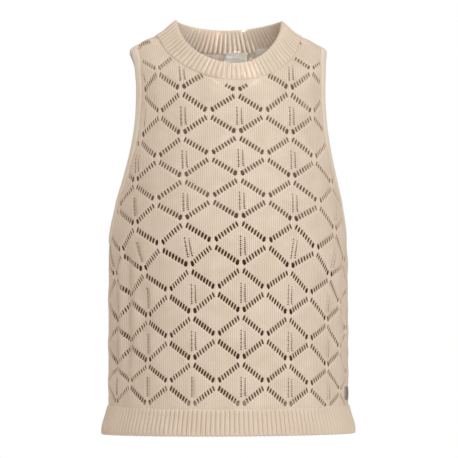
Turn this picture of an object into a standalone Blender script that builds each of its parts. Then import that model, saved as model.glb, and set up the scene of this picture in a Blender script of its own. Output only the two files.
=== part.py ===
"""Open-knit tank top, worn and hollow, as a set of closed knitted walls.

Metres, +Z up. The front faces -Y and the wearer's left is +X. The origin is on the neck's axis at the
height where the shoulder seams meet the neckband, which is where a wearer holds the garment up.

The cloth is charted twice. On a panel, s is the length along a level ring from the panel's centre line
and z is the height. Round an armhole, w is the length along the ring from the side line, forward
positive. The knitted lattice is charted by k, in half columns, and r, in half rows.
"""

import math
from collections import namedtuple

import bmesh
import bpy
import numpy as np
from mathutils.geometry import delaunay_2d_cdt

MM = 0.001
QUARTER_TURN = math.pi / 2

# Cloth
WALL = 2.0 * MM  # thickness of the lattice knit
SEAM_GAP = 0.3 * MM  # clearance between two pieces that are sewn together

# Heights
HEM_SEAM_Z = -461.0 * MM  # where the hem rib is linked to the panels
HEM_Z = -492.0 * MM  # lower edge of the garment at the centre front and back
HEM_SIDE_DROP = 4.5 * MM  # how much lower it hangs at the sides
SHOULDER_TIP_Z = -18.0 * MM
UNDERARM_Z = -249.0 * MM

# Level rings of the worn body in millimetres, from the hem up: half the width at the side lines, how far
# the centre front and the centre back lie from the neck's axis, and how far behind it the side lines lie.
Ring = namedtuple("Ring", "z half_width front back side")
RINGS = (
    Ring(-498.0, 158.0, 126.0, 104.5, 5.0),
    Ring(-484.0, 155.7, 124.0, 103.0, 5.0),
    Ring(-474.0, 152.5, 122.0, 101.0, 5.0),
    Ring(-461.0, 149.6, 120.5, 99.0, 5.0),
    Ring(-340.0, 149.2, 120.0, 96.0, 6.0),
    Ring(-282.0, 148.8, 118.0, 94.0, 8.0),
    Ring(-250.0, 147.8, 113.5, 93.5, 11.0),
    Ring(-210.0, 143.3, 106.5, 93.0, 16.0),
    Ring(-180.0, 138.5, 100.5, 92.5, 19.0),
    Ring(-150.0, 135.0, 92.5, 91.0, 22.0),
    Ring(-121.0, 133.0, 84.5, 89.0, 23.0),
    Ring(-91.0, 132.0, 78.0, 85.0, 23.0),
    Ring(-57.0, 131.0, 72.0, 76.5, 20.0),
    Ring(-46.0, 130.0, 66.0, 72.0, 15.5),
    Ring(-33.0, 127.5, 53.0, 65.0, 9.0),
    Ring(-19.0, 123.0, 31.0, 55.5, 3.0),
    Ring(-11.0, 111.5, 22.5, 44.0, 0.0),
    Ring(-3.5, 98.5, 16.0, 32.0, 0.0),
    Ring(0.0, 87.5, 13.0, 26.0, 0.0),
    Ring(4.0, 76.0, 10.0, 20.0, 0.0),
)

# Soft vertical troughs of the hanging cloth, in millimetres. s is positive towards the wearer's left.
Fold = namedtuple("Fold", "side s top bottom depth half_width")
FOLDS = (
    Fold("front", -158.0, -250.0, -440.0, 4.0, 13.0),
    Fold("front", -190.0, -262.0, -452.0, 3.0, 9.0),
    Fold("front", -118.0, -285.0, -430.0, 2.2, 12.0),
    Fold("front", 172.0, -262.0, -445.0, 2.8, 12.0),
    Fold("front", 132.0, -300.0, -440.0, 1.6, 12.0),
    Fold("back", -150.0, -255.0, -440.0, 3.4, 14.0),
    Fold("back", 162.0, -262.0, -446.0, 3.6, 13.0),
    Fold("back", 96.0, -290.0, -436.0, 2.0, 15.0),
    Fold("back", -70.0, -300.0, -432.0, 1.8, 15.0),
)

# Knitted lattice: half a column and half a row, low on the body and stretched over the chest.
LOW_HALF_COLUMN = 30.0 * MM
HIGH_HALF_COLUMN = 34.5 * MM
COLUMN_CHANGE_Z = (-290.0 * MM, -215.0 * MM)
LOW_HALF_ROW = 28.5 * MM
HIGH_HALF_ROW = 26.0 * MM
LOWEST_NODES_Z = -453.0 * MM
ROW_CHANGE = 8  # half rows above the lowest nodes where the rows get shorter
LATTICE_ROWS = (-1, 19)  # half rows and half columns that may meet a panel
LATTICE_COLUMNS = 9
STRIP = 0.068  # half width of a lattice line, as a share of a diamond's side
EYELET_AT = -0.155  # centre of a round eyelet, measured up a line from the node below it
EYELET_HALF = 0.060
EYELET_CORNERS = 6
EYELET_MARGIN = 3.0 * MM  # the least cloth between an eyelet and the panel's edge
LINE_DIP = 0.7 * MM  # how far the open lines lie below the diamonds
PUFF = 0.9 * MM  # how far a diamond's middle stands proud

# Armhole, as a closed loop in millimetres: z, then the length from the side line to the finished edge.
ArmholeRow = namedtuple("ArmholeRow", "z forward backward")
ARMHOLE = (
    ArmholeRow(-245.5, 7.5, 8.0),
    ArmholeRow(-234.0, 12.0, 13.5),
    ArmholeRow(-220.0, 16.0, 18.5),
    ArmholeRow(-206.0, 20.0, 23.0),
    ArmholeRow(-180.0, 31.0, 31.0),
    ArmholeRow(-150.0, 41.0, 37.5),
    ArmholeRow(-121.0, 46.0, 41.0),
    ArmholeRow(-91.0, 47.0, 42.0),
    ArmholeRow(-60.0, 43.0, 38.5),
    ArmholeRow(-42.0, 31.5, 32.5),
    ArmholeRow(-30.0, 18.0, 22.0),
    ArmholeRow(-23.0, 8.0, 10.5),
)
ARMHOLE_STEPS = 2  # points for each row of the table
OUTLINE_STEPS = 10  # points along half a hem and along a side seam
ARMBAND_WIDTH = 9.5 * MM
# Section of an armhole band: share of the width from the finished edge, and height over the middle layer.
ARMBAND_SECTION = (
    (1.00, 1.0 * MM),
    (0.70, 1.7 * MM),
    (0.22, 1.7 * MM),
    (0.00, 0.6 * MM),
    (0.00, -0.6 * MM),
    (0.30, -1.4 * MM),
    (1.00, -1.0 * MM),
)

# Neckline and neckband
NECK_HALF_WIDTH = 87.5 * MM
FRONT_DROP = 57.0 * MM
BACK_DROP = 18.0 * MM
DROP_POWER = 1.1  # over 1, so that the neckline runs level over the shoulder
COLLAR_HALF_WIDTH = 65.0 * MM
COLLAR_SIDE_Z = 20.5 * MM
CollarHalf = namedtuple("CollarHalf", "reach drop drop_power")  # the upper edge's depth and how it falls
COLLAR_FRONT = CollarHalf(60.0 * MM, 56.5 * MM, 1.0)
COLLAR_BACK = CollarHalf(45.0 * MM, 9.0 * MM, 2.0)
COLLAR_TURN = 8.0 * MM  # how far the band runs on in line with the cloth before it turns up
COLLAR_THICKNESS = 3.4 * MM
COLLAR_RIBS = 80
COLLAR_ROWS = (0.0, 0.5, 1.0)
COLLAR_EDGE_SHARE = 0.35  # how much of a rib's rise is left at the top edge

# Ribs of the neckband and the hem
RIB_RISE = 1.1 * MM
HEM_RIB_PITCH = 6.0 * MM
HEM_THICKNESS = 2.6 * MM
HEM_EDGE_SHARE = 0.6  # how much of a rib's rise is left at the lower edge

# Labels inside the back neck, and a tag by the wearer's left side seam, in millimetres
Patch = namedtuple("Patch", "name side s width top height thickness")
PATCHES = (
    Patch("neck_label", "back", 16.0, 29.0, -20.0, 24.0, 0.8),
    Patch("size_label", "back", 51.0, 20.0, -17.5, 13.0, 0.8),
    Patch("side_tag", "front", 180.0, 15.0, -436.0, 18.5, 1.2),
)
PATCH_CELLS = 3
PATCH_MARGIN = 2.0 * MM

# Extra points where the yoke bends over the shoulders
YOKE_S = (-130.0 * MM, 131.0 * MM, 11.0 * MM)
YOKE_Z = (-66.0 * MM, -3.0 * MM, 9.0 * MM)
YOKE_APART = 6.0 * MM

Finish = namedtuple("Finish", "name colour roughness metallic")
KNIT = Finish("lattice_knit", (0.66, 0.56, 0.45, 1.0), 0.9, 0.0)
RIB = Finish("rib_knit", (0.69, 0.59, 0.48, 1.0), 0.9, 0.0)
WOVEN = Finish("woven_label", (0.78, 0.78, 0.74, 1.0), 0.7, 0.0)
METAL = Finish("grey_metal", (0.22, 0.21, 0.20, 1.0), 0.4, 1.0)

GAUSS_AT, GAUSS_WEIGHT = np.polynomial.legendre.leggauss(12)
PROBE = 0.2 * MM  # step of the finite differences
INSIDE = 1  # the triangulation keeps what the outline holds
CHART_TOLERANCE = 0.0001 * MM
SHARP_EDGE = math.radians(50)


def table(rows, field):
    """One named column of a table, in metres."""
    return np.array([getattr(row, field) for row in rows]) * MM


def smooth_curve(at, knots, values):
    """A cubic curve through a table's values that never overshoots them."""
    steps = np.diff(knots)
    slopes = np.diff(values) / steps
    turning = slopes[1:] * slopes[:-1] <= 0
    total = np.where(turning, 1.0, slopes[1:] + slopes[:-1])
    inner = np.where(turning, 0.0, 2 * slopes[1:] * slopes[:-1] / total)
    tangents = np.concatenate([slopes[:1], inner, slopes[-1:]])
    i = np.clip(np.searchsorted(knots, at) - 1, 0, len(steps) - 1)
    t = (at - knots[i]) / steps[i]
    rise = values[i] * (1 + 2 * t) * (1 - t) ** 2 + values[i + 1] * t**2 * (3 - 2 * t)
    return rise + steps[i] * (tangents[i] * t * (1 - t) ** 2 - tangents[i + 1] * t**2 * (1 - t))


def ease(t):
    """A smooth step from 0 to 1."""
    t = np.clip(t, 0.0, 1.0)
    return t * t * (3 - 2 * t)


def side_line_y(z):
    """How far behind the neck's axis the side lines lie."""
    return smooth_curve(z, table(RINGS, "z"), table(RINGS, "side"))


def ring_axes(side, z):
    """Half width and depth, from the side line, of the ring at each height, for the front or the back."""
    knots = table(RINGS, "z")
    width = smooth_curve(z, knots, table(RINGS, "half_width"))
    reach = smooth_curve(z, knots, table(RINGS, side))
    return width, reach + side_line_y(z) * (1 if side == "front" else -1)


def arc_length(angle, width, depth):
    """Length along an ellipse from the centre line to an angle."""
    at = 0.5 * angle[..., None] * (GAUSS_AT + 1)
    speed = np.hypot(width[..., None] * np.cos(at), depth[..., None] * np.sin(at))
    return 0.5 * angle * (speed * GAUSS_WEIGHT).sum(-1)


def angle_at(length, width, depth):
    """The angle that lies a given length along the ellipse, by Newton's method."""
    angle = length / np.maximum(0.5 * (width + depth), PROBE)
    for _ in range(8):
        speed = np.hypot(width * np.cos(angle), depth * np.sin(angle))
        angle = angle - (arc_length(angle, width, depth) - length) / speed
    return angle


def side_length(side, z):
    """Length along the ring from the panel's centre line to the side line."""
    width, depth = ring_axes(side, z)
    return arc_length(np.full_like(width, QUARTER_TURN), width, depth)


def fold_depth(side, s, z):
    """How far the troughs draw the cloth in."""
    total = np.zeros_like(s)
    for fold in FOLDS:
        if fold.side != side:
            continue
        middle, reach = (fold.top + fold.bottom) / 2 * MM, (fold.top - fold.bottom) / 2 * MM
        along = ease(1.6 * (1 - np.abs(z - middle) / reach))
        across = np.exp(-(((s - fold.s * MM) / (fold.half_width * MM)) ** 2))
        total = total + fold.depth * MM * along * across
    return total


def surface(side, s, z):
    """Points of the cloth's middle layer."""
    width, depth = ring_axes(side, z)
    angle = angle_at(s, width, depth)
    facing = -1.0 if side == "front" else 1.0
    drawn_in = fold_depth(side, s, z)
    x = (width - drawn_in) * np.sin(angle)
    y = side_line_y(z) + facing * (depth - drawn_in) * np.cos(angle)
    return np.stack([x, y, z], -1)


def outward(side, s, z):
    """Unit normals of the cloth, away from the wearer."""
    along = surface(side, s + PROBE, z) - surface(side, s - PROBE, z)
    up = surface(side, s, z + PROBE) - surface(side, s, z - PROBE)
    normal = np.cross(along, up) * (1.0 if side == "front" else -1.0)
    return normal / np.linalg.norm(normal, axis=-1, keepdims=True)


def laid_on(side, s, z, height):
    """Points at a height over the middle layer."""
    s, z = np.asarray(s, float), np.asarray(z, float)
    return surface(side, s, z) + outward(side, s, z) * np.asarray(height)[..., None]


# The knitted lattice


def half_column(z):
    """Width of half a column of diamonds at a height."""
    low, high = COLUMN_CHANGE_Z
    return LOW_HALF_COLUMN + (HIGH_HALF_COLUMN - LOW_HALF_COLUMN) * ease((z - low) / (high - low))


def row_height(r):
    """Height of a half row, counted from the lowest nodes."""
    low, high = np.minimum(r, ROW_CHANGE), np.maximum(r - ROW_CHANGE, 0)
    return LOWEST_NODES_Z + LOW_HALF_ROW * low + HIGH_HALF_ROW * high


def lattice_point(p, q):
    """Chart point (s, z) of the lattice point p lines down to the right and q down to the left."""
    z = row_height(-(p + q))
    return (p - q) * half_column(z), z


def lattice_cells():
    """Diamonds (i, j) that may meet a panel, named by their top node."""
    for i in range(-20, 20):
        for j in range(-20, 20):
            if LATTICE_ROWS[0] <= -(i + j) <= LATTICE_ROWS[1] and abs(i - j) <= LATTICE_COLUMNS:
                yield i, j


def eyelet_rings():
    """The round eyelets: two above each node of an even column, on the lines that run down into it."""
    turn = np.arange(EYELET_CORNERS) * math.tau / EYELET_CORNERS
    along, across = EYELET_AT + EYELET_HALF * np.cos(turn), EYELET_HALF * np.sin(turn)
    for i, j in lattice_cells():
        if (i - j) % 2 == 0:
            yield np.stack(lattice_point(i + along, j + across), -1)
            yield np.stack(lattice_point(i + across, j + along), -1)


# Outlines of a panel in its chart


def armhole_loop():
    """The armhole's finished edge (w, z), from the underarm up the front, over and down the back."""
    rows = [(0.0, UNDERARM_Z)]
    rows += [(row.forward * MM, row.z * MM) for row in ARMHOLE]
    rows += [(0.0, SHOULDER_TIP_Z)]
    rows += [(-row.backward * MM, row.z * MM) for row in reversed(ARMHOLE)]
    rows = np.array(rows)
    before, after, later = np.roll(rows, 1, 0), np.roll(rows, -1, 0), np.roll(rows, -2, 0)
    loop = []
    for n in range(len(rows)):
        for step in range(ARMHOLE_STEPS):
            t = step / ARMHOLE_STEPS
            loop.append(
                0.5
                * (
                    2 * rows[n]
                    + (after[n] - before[n]) * t
                    + (2 * before[n] - 5 * rows[n] + 4 * after[n] - later[n]) * t**2
                    + (3 * rows[n] - before[n] - 3 * after[n] + later[n]) * t**3
                )
            )
    return np.array(loop)


def side_surface(w, z):
    """Points of the cloth by the armhole's chart, on the wearer's left."""
    front = surface("front", side_length("front", z) - w, z)
    back = surface("back", side_length("back", z) + w, z)
    return np.where((w >= 0)[..., None], front, back)


def side_outward(w, z):
    """Unit normals by the armhole's chart."""
    front = outward("front", side_length("front", z) - w, z)
    back = outward("back", side_length("back", z) + w, z)
    return np.where((w >= 0)[..., None], front, back)


def moved_out(loop, distance):
    """The armhole's loop moved a true distance across the cloth, away from the hole."""
    steps = 3
    for _ in range(steps):
        w, z = loop[:, 0], loop[:, 1]
        across = (side_surface(w + PROBE, z) - side_surface(w - PROBE, z)) / (2 * PROBE)
        up = (side_surface(w, z + PROBE) - side_surface(w, z - PROBE)) / (2 * PROBE)
        ww, wz, zz = (across * across).sum(-1), (across * up).sum(-1), (up * up).sum(-1)
        tangent = np.roll(loop, -1, 0) - np.roll(loop, 1, 0)
        # The covector (dz, -dw) is square to the tangent; the metric's inverse turns it into a chart step.
        a, b = tangent[:, 1], -tangent[:, 0]
        spread = ww * zz - wz**2
        step = np.stack([(zz * a - wz * b) / spread, (ww * b - wz * a) / spread], -1)
        length = np.sqrt(a * step[:, 0] + b * step[:, 1])
        loop = loop + step / length[:, None] * distance / steps
        loop[0, 0] = loop[len(loop) // 2, 0] = 0.0
    return loop


def neckline(side, angle):
    """Chart points (s, z) of the neckline by the angle from the centre line."""
    drop = FRONT_DROP if side == "front" else BACK_DROP
    z = -drop * np.abs(np.cos(angle)) ** DROP_POWER
    width, depth = ring_axes(side, z)
    across = np.arcsin(np.clip(NECK_HALF_WIDTH * np.sin(angle) / width, -1, 1))
    return arc_length(across, width, depth), z


def collar_angles():
    """Angles round the neck, two for each rib, from the centre front to the wearer's left and on."""
    return np.arange(2 * COLLAR_RIBS) * math.tau / (2 * COLLAR_RIBS)


def seam_chart(side, z):
    """Chart points on the side or shoulder seam, half a gap in from the line."""
    return np.stack([side_length(side, z) - SEAM_GAP / 2, z], -1)


def panel_outline(side):
    """Half of a panel's edge, from the centre of the hem to the centre of the neck on the wearer's left."""
    hem_side = side_length(side, np.array([HEM_SEAM_Z]))[0] - SEAM_GAP / 2
    hem = np.linspace((0, HEM_SEAM_Z), (hem_side, HEM_SEAM_Z), OUTLINE_STEPS + 1)
    armhole = moved_out(armhole_loop(), ARMBAND_WIDTH + SEAM_GAP)
    if side == "back":
        armhole = np.roll(armhole[::-1], 1, 0) * (-1, 1)
    w, z = armhole[: len(armhole) // 2 + 1].T
    arm = np.stack([side_length(side, z) - np.maximum(w, SEAM_GAP / 2), z], -1)
    seam = seam_chart(side, np.linspace(HEM_SEAM_Z, arm[0, 1], OUTLINE_STEPS + 1))
    neck = np.stack(neckline(side, collar_angles()[: COLLAR_RIBS // 2 + 1 : 2][::-1]), -1)
    neck[0] = seam_chart(side, neck[:1, 1])[0]
    shoulder = seam_chart(side, np.linspace(arm[-1, 1], neck[0, 1], 5))
    return np.concatenate([hem[:-1], seam[:-1], arm, shoulder[1:-1], neck])


def whole_outline(side):
    """A panel's edge all round, anticlockwise."""
    half = panel_outline(side)
    mirrored = half[1:-1][::-1] * (-1, 1)
    return np.concatenate([half, mirrored])


def inside_by(points, outline, margin):
    """Whether each chart point lies in the outline, at least a margin from it."""
    a, b = outline, np.roll(outline, -1, 0)
    p = points[:, None]
    along = ((p - a) * (b - a)).sum(-1) / ((b - a) ** 2).sum(-1)
    nearest = a + (b - a) * np.clip(along, 0, 1)[..., None]
    far = np.linalg.norm(p - nearest, axis=-1).min(1) > margin
    crosses = (a[:, 1] > p[..., 1]) != (b[:, 1] > p[..., 1])
    with np.errstate(divide="ignore", invalid="ignore"):
        at = a[:, 0] + (p[..., 1] - a[:, 1]) / (b[:, 1] - a[:, 1]) * (b[:, 0] - a[:, 0])
    return far & ((crosses & (p[..., 0] < at)).sum(1) % 2 == 1)


# Meshes


def new_object(name, finish, vertices, faces):
    """A closed mesh object with its finish."""
    mesh = bpy.data.meshes.new(name)
    mesh.from_pydata([tuple(v) for v in vertices], [], [tuple(f) for f in faces])
    material = bpy.data.materials.get(finish.name) or bpy.data.materials.new(finish.name)
    material.use_nodes = True
    shader = material.node_tree.nodes["Principled BSDF"]
    shader.inputs["Base Color"].default_value = finish.colour
    shader.inputs["Roughness"].default_value = finish.roughness
    shader.inputs["Metallic"].default_value = finish.metallic
    mesh.materials.append(material)
    mesh.shade_smooth()
    mesh.set_sharp_from_angle(angle=SHARP_EDGE)
    obj = bpy.data.objects.new(name, mesh)
    bpy.context.scene.collection.objects.link(obj)
    face_outwards(obj)
    return obj


def grid_wall(name, finish, outer, inner, closed):
    """A wall between two grids of points (row, column, xyz). A closed one joins its ends."""
    rows, columns = outer.shape[:2]

    def at(layer, row, column):
        return layer * rows * columns + row * columns + column % columns

    faces = []
    for c in range(columns if closed else columns - 1):
        for r in range(rows - 1):
            faces.append((at(0, r, c), at(0, r, c + 1), at(0, r + 1, c + 1), at(0, r + 1, c)))
            faces.append((at(1, r, c), at(1, r + 1, c), at(1, r + 1, c + 1), at(1, r, c + 1)))
        for r in (0, rows - 1):
            faces.append((at(0, r, c), at(0, r, c + 1), at(1, r, c + 1), at(1, r, c)))
    for r in range(0 if closed else rows - 1):
        for c in (0, columns - 1):
            faces.append((at(0, r, c), at(0, r + 1, c), at(1, r + 1, c), at(1, r, c)))
    return new_object(name, finish, np.concatenate([outer.reshape(-1, 3), inner.reshape(-1, 3)]), faces)


def face_outwards(obj):
    """Turns a closed mesh's faces to point out."""
    mesh = bmesh.new()
    mesh.from_mesh(obj.data)
    bmesh.ops.recalc_face_normals(mesh, faces=mesh.faces)
    mesh.to_mesh(obj.data)
    mesh.free()


# Lattice panels


def relief(p, q):
    """How far the outer face stands over the wall: low on the lattice lines, high inside a diamond."""
    to_line = np.minimum(np.abs(p - np.round(p)), np.abs(q - np.round(q)))
    return np.where(to_line < STRIP * 0.9, -LINE_DIP, PUFF * ease((to_line - STRIP) / (0.5 - STRIP)))


def lattice_at(s, z):
    """Lattice coordinates (p, q) of chart points."""
    low = (z - LOWEST_NODES_Z) / LOW_HALF_ROW
    high = ROW_CHANGE + (z - row_height(ROW_CHANGE)) / HIGH_HALF_ROW
    r, k = np.where(low < ROW_CHANGE, low, high), s / half_column(z)
    return (k - r) / 2, -(k + r) / 2


def patch_grid(item):
    """Chart points (row, column) of a label or tag, from its top row down."""
    s = (item.s + item.width * np.linspace(-0.5, 0.5, PATCH_CELLS + 1)) * MM
    z = (item.top - item.height * np.linspace(0, 1, PATCH_CELLS + 1)) * MM
    return np.meshgrid(s, z)


def under_a_patch(side, points):
    """Whether each chart point lies under a label or tag, or close to it."""
    covered = np.zeros(len(points), bool)
    for item in PATCHES:
        if item.side == side:
            middle = np.array([item.s, item.top - item.height / 2]) * MM
            reach = np.array([item.width, item.height]) / 2 * MM + PATCH_MARGIN
            covered |= (np.abs(points - middle) < reach).all(-1)
    return covered


def relief_chart(side, outline):
    """Chart points of a panel's relief, its curved yoke and its labels, with lines between them."""
    points, lines = [], []
    for i, j in lattice_cells():
        shares = [(STRIP, STRIP), (1 - STRIP, STRIP), (1 - STRIP, 1 - STRIP), (STRIP, 1 - STRIP)]
        shares += [(0.0, 0.0), (0.5, 0.5), (0.5, 0.0), (0.0, 0.5)]
        spots = np.array([lattice_point(i + a, j + b) for a, b in shares])
        kept = inside_by(spots, outline, EYELET_MARGIN) & ~under_a_patch(side, spots)
        numbers = len(points) - 1 + np.cumsum(kept)
        points += list(spots[kept])
        lines += [(numbers[n], numbers[(n + 1) % 4]) for n in range(4) if kept[n] and kept[(n + 1) % 4]]
    for item in PATCHES:
        if item.side != side:
            continue
        start, across = len(points), PATCH_CELLS + 1
        points += list(np.stack(patch_grid(item), -1).reshape(-1, 2))
        for n in range(across * across):
            if n % across < PATCH_CELLS:
                lines.append((start + n, start + n + 1))
            if n < across * PATCH_CELLS:
                lines.append((start + n, start + n + across))
    yoke = np.stack(np.meshgrid(np.arange(*YOKE_S), np.arange(*YOKE_Z)), -1).reshape(-1, 2)
    apart = np.linalg.norm(yoke[:, None] - np.array(points), axis=-1).min(1) > YOKE_APART
    yoke = yoke[apart & inside_by(yoke, outline, EYELET_MARGIN) & ~under_a_patch(side, yoke)]
    return points + list(yoke), lines


def triangulated(outline, rings, points, lines):
    """A panel's chart in triangles, the eyelets left open. The points of its edges come first, in order."""
    chart, edges, owner = [], [], []
    for number, loop in enumerate([outline, *rings]):
        start = len(chart)
        chart += [tuple(point) for point in loop]
        owner += [number] * len(loop)
        edges += [(start + n, start + (n + 1) % len(loop)) for n in range(len(loop))]
    rim = len(chart)
    chart += [tuple(point) for point in points]
    edges += [(rim + a, rim + b) for a, b in lines]
    found, _, triangles, origins, _, _ = delaunay_2d_cdt(chart, edges, [], INSIDE, CHART_TOLERANCE)
    made_from = {source: number for number, sources in enumerate(origins) for source in sources}
    order = [made_from[n] for n in range(rim)]
    order += sorted(set(range(len(found))) - set(order))
    place = {number: n for n, number in enumerate(order)}
    kept = []
    for triangle in triangles:
        corners = [place[n] for n in triangle]
        owners = {owner[n] if n < rim else 0 for n in corners}
        if len(owners) > 1 or owners == {0}:
            kept.append(corners)
    return np.array([tuple(found[n]) for n in order]), kept


def knit_panel(name, side):
    """Front or back: a wall with its round eyelets cut through and its diamonds raised."""
    outline = whole_outline(side)
    rings = [ring for ring in eyelet_rings() if inside_by(ring, outline, EYELET_MARGIN).all()]
    rings = [ring for ring in rings if not under_a_patch(side, ring).any()]
    chart, triangles = triangulated(outline, rings, *relief_chart(side, outline))
    raised = relief(*lattice_at(*chart.T))
    raised[: len(outline) + EYELET_CORNERS * len(rings)] = 0.0
    outer = laid_on(side, *chart.T, WALL / 2 + raised)
    inner = laid_on(side, *chart.T, np.full(len(chart), -WALL / 2))
    faces = triangles + [[len(outer) + n for n in reversed(face)] for face in triangles]
    start = 0
    for loop in [outline, *rings]:
        for n in range(len(loop)):
            a, b = start + n, start + (n + 1) % len(loop)
            faces.append([a, len(outer) + a, len(outer) + b, b])
        start += len(loop)
    new_object(name, KNIT, np.concatenate([outer, inner]), faces)


# Bands, ribs and labels


def armhole_band(name, mirror):
    """The plain band round one armhole, on the wearer's left, or mirrored to the right."""
    rows = []
    for share, height in ARMBAND_SECTION:
        w, z = moved_out(armhole_loop(), share * ARMBAND_WIDTH).T
        rows.append(side_surface(w, z) + side_outward(w, z) * height)
    section = np.array(rows) * (-1 if mirror else 1, 1, 1)
    count, around = section.shape[:2]
    faces = []
    for r in range(count):
        for c in range(around):
            up, right = (r + 1) % count, (c + 1) % around
            faces.append((r * around + c, r * around + right, up * around + right, up * around + c))
    new_object(name, RIB, section.reshape(-1, 3), faces)


def collar_seam():
    """The neckline all round, with the cloth's normals there."""
    angle = collar_angles()
    seam, normal = np.empty((2, len(angle), 3))
    front = np.cos(angle) >= 0
    for side, chosen, turned in (("front", front, angle), ("back", ~front, math.pi - angle)):
        s, z = neckline(side, turned[chosen])
        seam[chosen], normal[chosen] = surface(side, s, z), outward(side, s, z)
    return seam, normal


def collar_top():
    """The neckband's upper edge all round, which peaks above the shoulders."""
    angle = collar_angles()
    front = np.cos(angle) >= 0
    reach, drop, power = (np.where(front, f, b) for f, b in zip(COLLAR_FRONT, COLLAR_BACK))
    x, y = COLLAR_HALF_WIDTH * np.sin(angle), -reach * np.cos(angle)
    return np.stack([x, y, COLLAR_SIDE_Z - drop * np.abs(np.cos(angle)) ** power], -1)


def neckband(name):
    """The ribbed band that leaves the neckline in line with the cloth and turns up round the neck."""
    seam, cloth = collar_seam()
    onward = np.cross(cloth, np.roll(seam, -1, 0) - np.roll(seam, 1, 0))
    onward /= np.linalg.norm(onward, axis=-1, keepdims=True)
    base, turn = seam + onward * SEAM_GAP, seam + onward * COLLAR_TURN
    u = np.array(COLLAR_ROWS)[:, None, None]
    middle = (1 - u) ** 2 * base + 2 * u * (1 - u) * turn + u**2 * collar_top()
    around = np.roll(middle, -1, 1) - np.roll(middle, 1, 1)
    normal = np.cross(around, np.gradient(middle, axis=0))
    normal[0] = cloth
    normal /= np.linalg.norm(normal, axis=-1, keepdims=True)
    rib = RIB_RISE * (np.arange(middle.shape[1]) % 2)
    left = np.ones((len(COLLAR_ROWS), 1))
    left[-1] = COLLAR_EDGE_SHARE
    outer = middle + normal * (COLLAR_THICKNESS / 2 + rib * left)[..., None]
    grid_wall(name, RIB, outer, middle - normal * COLLAR_THICKNESS / 2, closed=True)


def hem_rib(name, side):
    """The ribbed band of the front or the back hem."""
    reach = side_length(side, np.array([HEM_SEAM_Z]))[0] - SEAM_GAP / 2
    columns = 2 * round(2 * reach / HEM_RIB_PITCH) + 1
    share = np.linspace(-1, 1, columns)
    lower = HEM_Z - HEM_SIDE_DROP * share**2
    z = np.stack([np.full(columns, HEM_SEAM_Z - SEAM_GAP), lower])
    s = share * (side_length(side, z) - SEAM_GAP / 2)
    rib = RIB_RISE * (np.arange(columns) % 2) * np.array([[1.0], [HEM_EDGE_SHARE]])
    outer = laid_on(side, s, z, HEM_THICKNESS / 2 + rib)
    inner = laid_on(side, s, z, np.full(s.shape, -HEM_THICKNESS / 2))
    grid_wall(name, RIB, outer, inner, closed=False)


def patch(item):
    """A thin piece that lies on a panel: the panel's points under it, moved out or in."""
    s, z = patch_grid(item)
    if item.side == "front":
        near = WALL / 2 + SEAM_GAP + relief(*lattice_at(s, z))
        far, finish = near + item.thickness * MM, METAL
    else:
        near = np.full(s.shape, -WALL / 2 - SEAM_GAP)
        far, finish = near - item.thickness * MM, WOVEN
    outer, inner = laid_on(item.side, s, z, far), laid_on(item.side, s, z, near)
    grid_wall(item.name, finish, outer, inner, closed=False)


def build():
    """Builds the garment in an empty scene."""
    for obj in list(bpy.data.objects):
        bpy.data.objects.remove(obj, do_unlink=True)
    knit_panel("front", "front")
    knit_panel("back", "back")
    hem_rib("hem_rib_front", "front")
    hem_rib("hem_rib_back", "back")
    neckband("neckband")
    armhole_band("armhole_band_left", mirror=False)
    armhole_band("armhole_band_right", mirror=True)
    for item in PATCHES:
        patch(item)


build()
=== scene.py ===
"""Open-knit tank top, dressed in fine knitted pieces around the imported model.

Metres, +Z up. The front faces -Y and the wearer's left is +X. A panel is charted by s, the length along a
level ring from its centre line, and z. The knitted lattice is charted by p, counted in diamond sides down
to the right, and q, counted down to the left.
"""

import logging
import math
from collections.abc import Callable, Iterable
from dataclasses import dataclass, field
from enum import Enum

import bpy
import numpy as np
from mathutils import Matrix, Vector

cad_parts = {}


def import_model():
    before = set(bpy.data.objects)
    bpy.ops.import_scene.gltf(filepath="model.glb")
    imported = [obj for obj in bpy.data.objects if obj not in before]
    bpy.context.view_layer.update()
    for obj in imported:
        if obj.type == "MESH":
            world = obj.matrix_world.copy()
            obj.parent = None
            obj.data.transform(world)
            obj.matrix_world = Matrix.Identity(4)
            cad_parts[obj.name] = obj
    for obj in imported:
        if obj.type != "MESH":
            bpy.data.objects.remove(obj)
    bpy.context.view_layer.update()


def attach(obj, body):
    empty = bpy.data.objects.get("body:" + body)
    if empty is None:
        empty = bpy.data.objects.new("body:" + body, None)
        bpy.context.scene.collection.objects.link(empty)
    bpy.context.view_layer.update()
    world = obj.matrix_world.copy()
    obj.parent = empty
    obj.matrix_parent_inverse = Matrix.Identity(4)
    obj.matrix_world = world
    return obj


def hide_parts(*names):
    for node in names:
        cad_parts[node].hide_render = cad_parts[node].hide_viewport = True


LOG = logging.getLogger("tank_top")
MM = 0.001
QUARTER_TURN = math.pi / 2
GAUSS_AT, GAUSS_WEIGHT = np.polynomial.legendre.leggauss(12)
PROBE = 0.2 * MM  # step over which slopes of the worn form are measured
TINY = 1e-9  # keeps a lattice line on its own side when it is rounded down


class Side(Enum):
    """The half of the garment that a panel covers; its value is the sign of y that it faces."""

    FRONT = -1.0
    BACK = 1.0


# ---------------------------------------------------------------------------------------------------------
# Small helpers


def hex_colour(text: str) -> tuple[float, float, float, float]:
    """Turns an sRGB hex colour into linear values.

    Args:
        text: six hex digits.

    Returns:
        Linear red, green, blue and an alpha of one.
    """
    parts = [int(text[n : n + 2], 16) / 255 for n in (0, 2, 4)]
    linear = [c / 12.92 if c <= 0.04045 else ((c + 0.055) / 1.055) ** 2.4 for c in parts]
    return (linear[0], linear[1], linear[2], 1.0)


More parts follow.
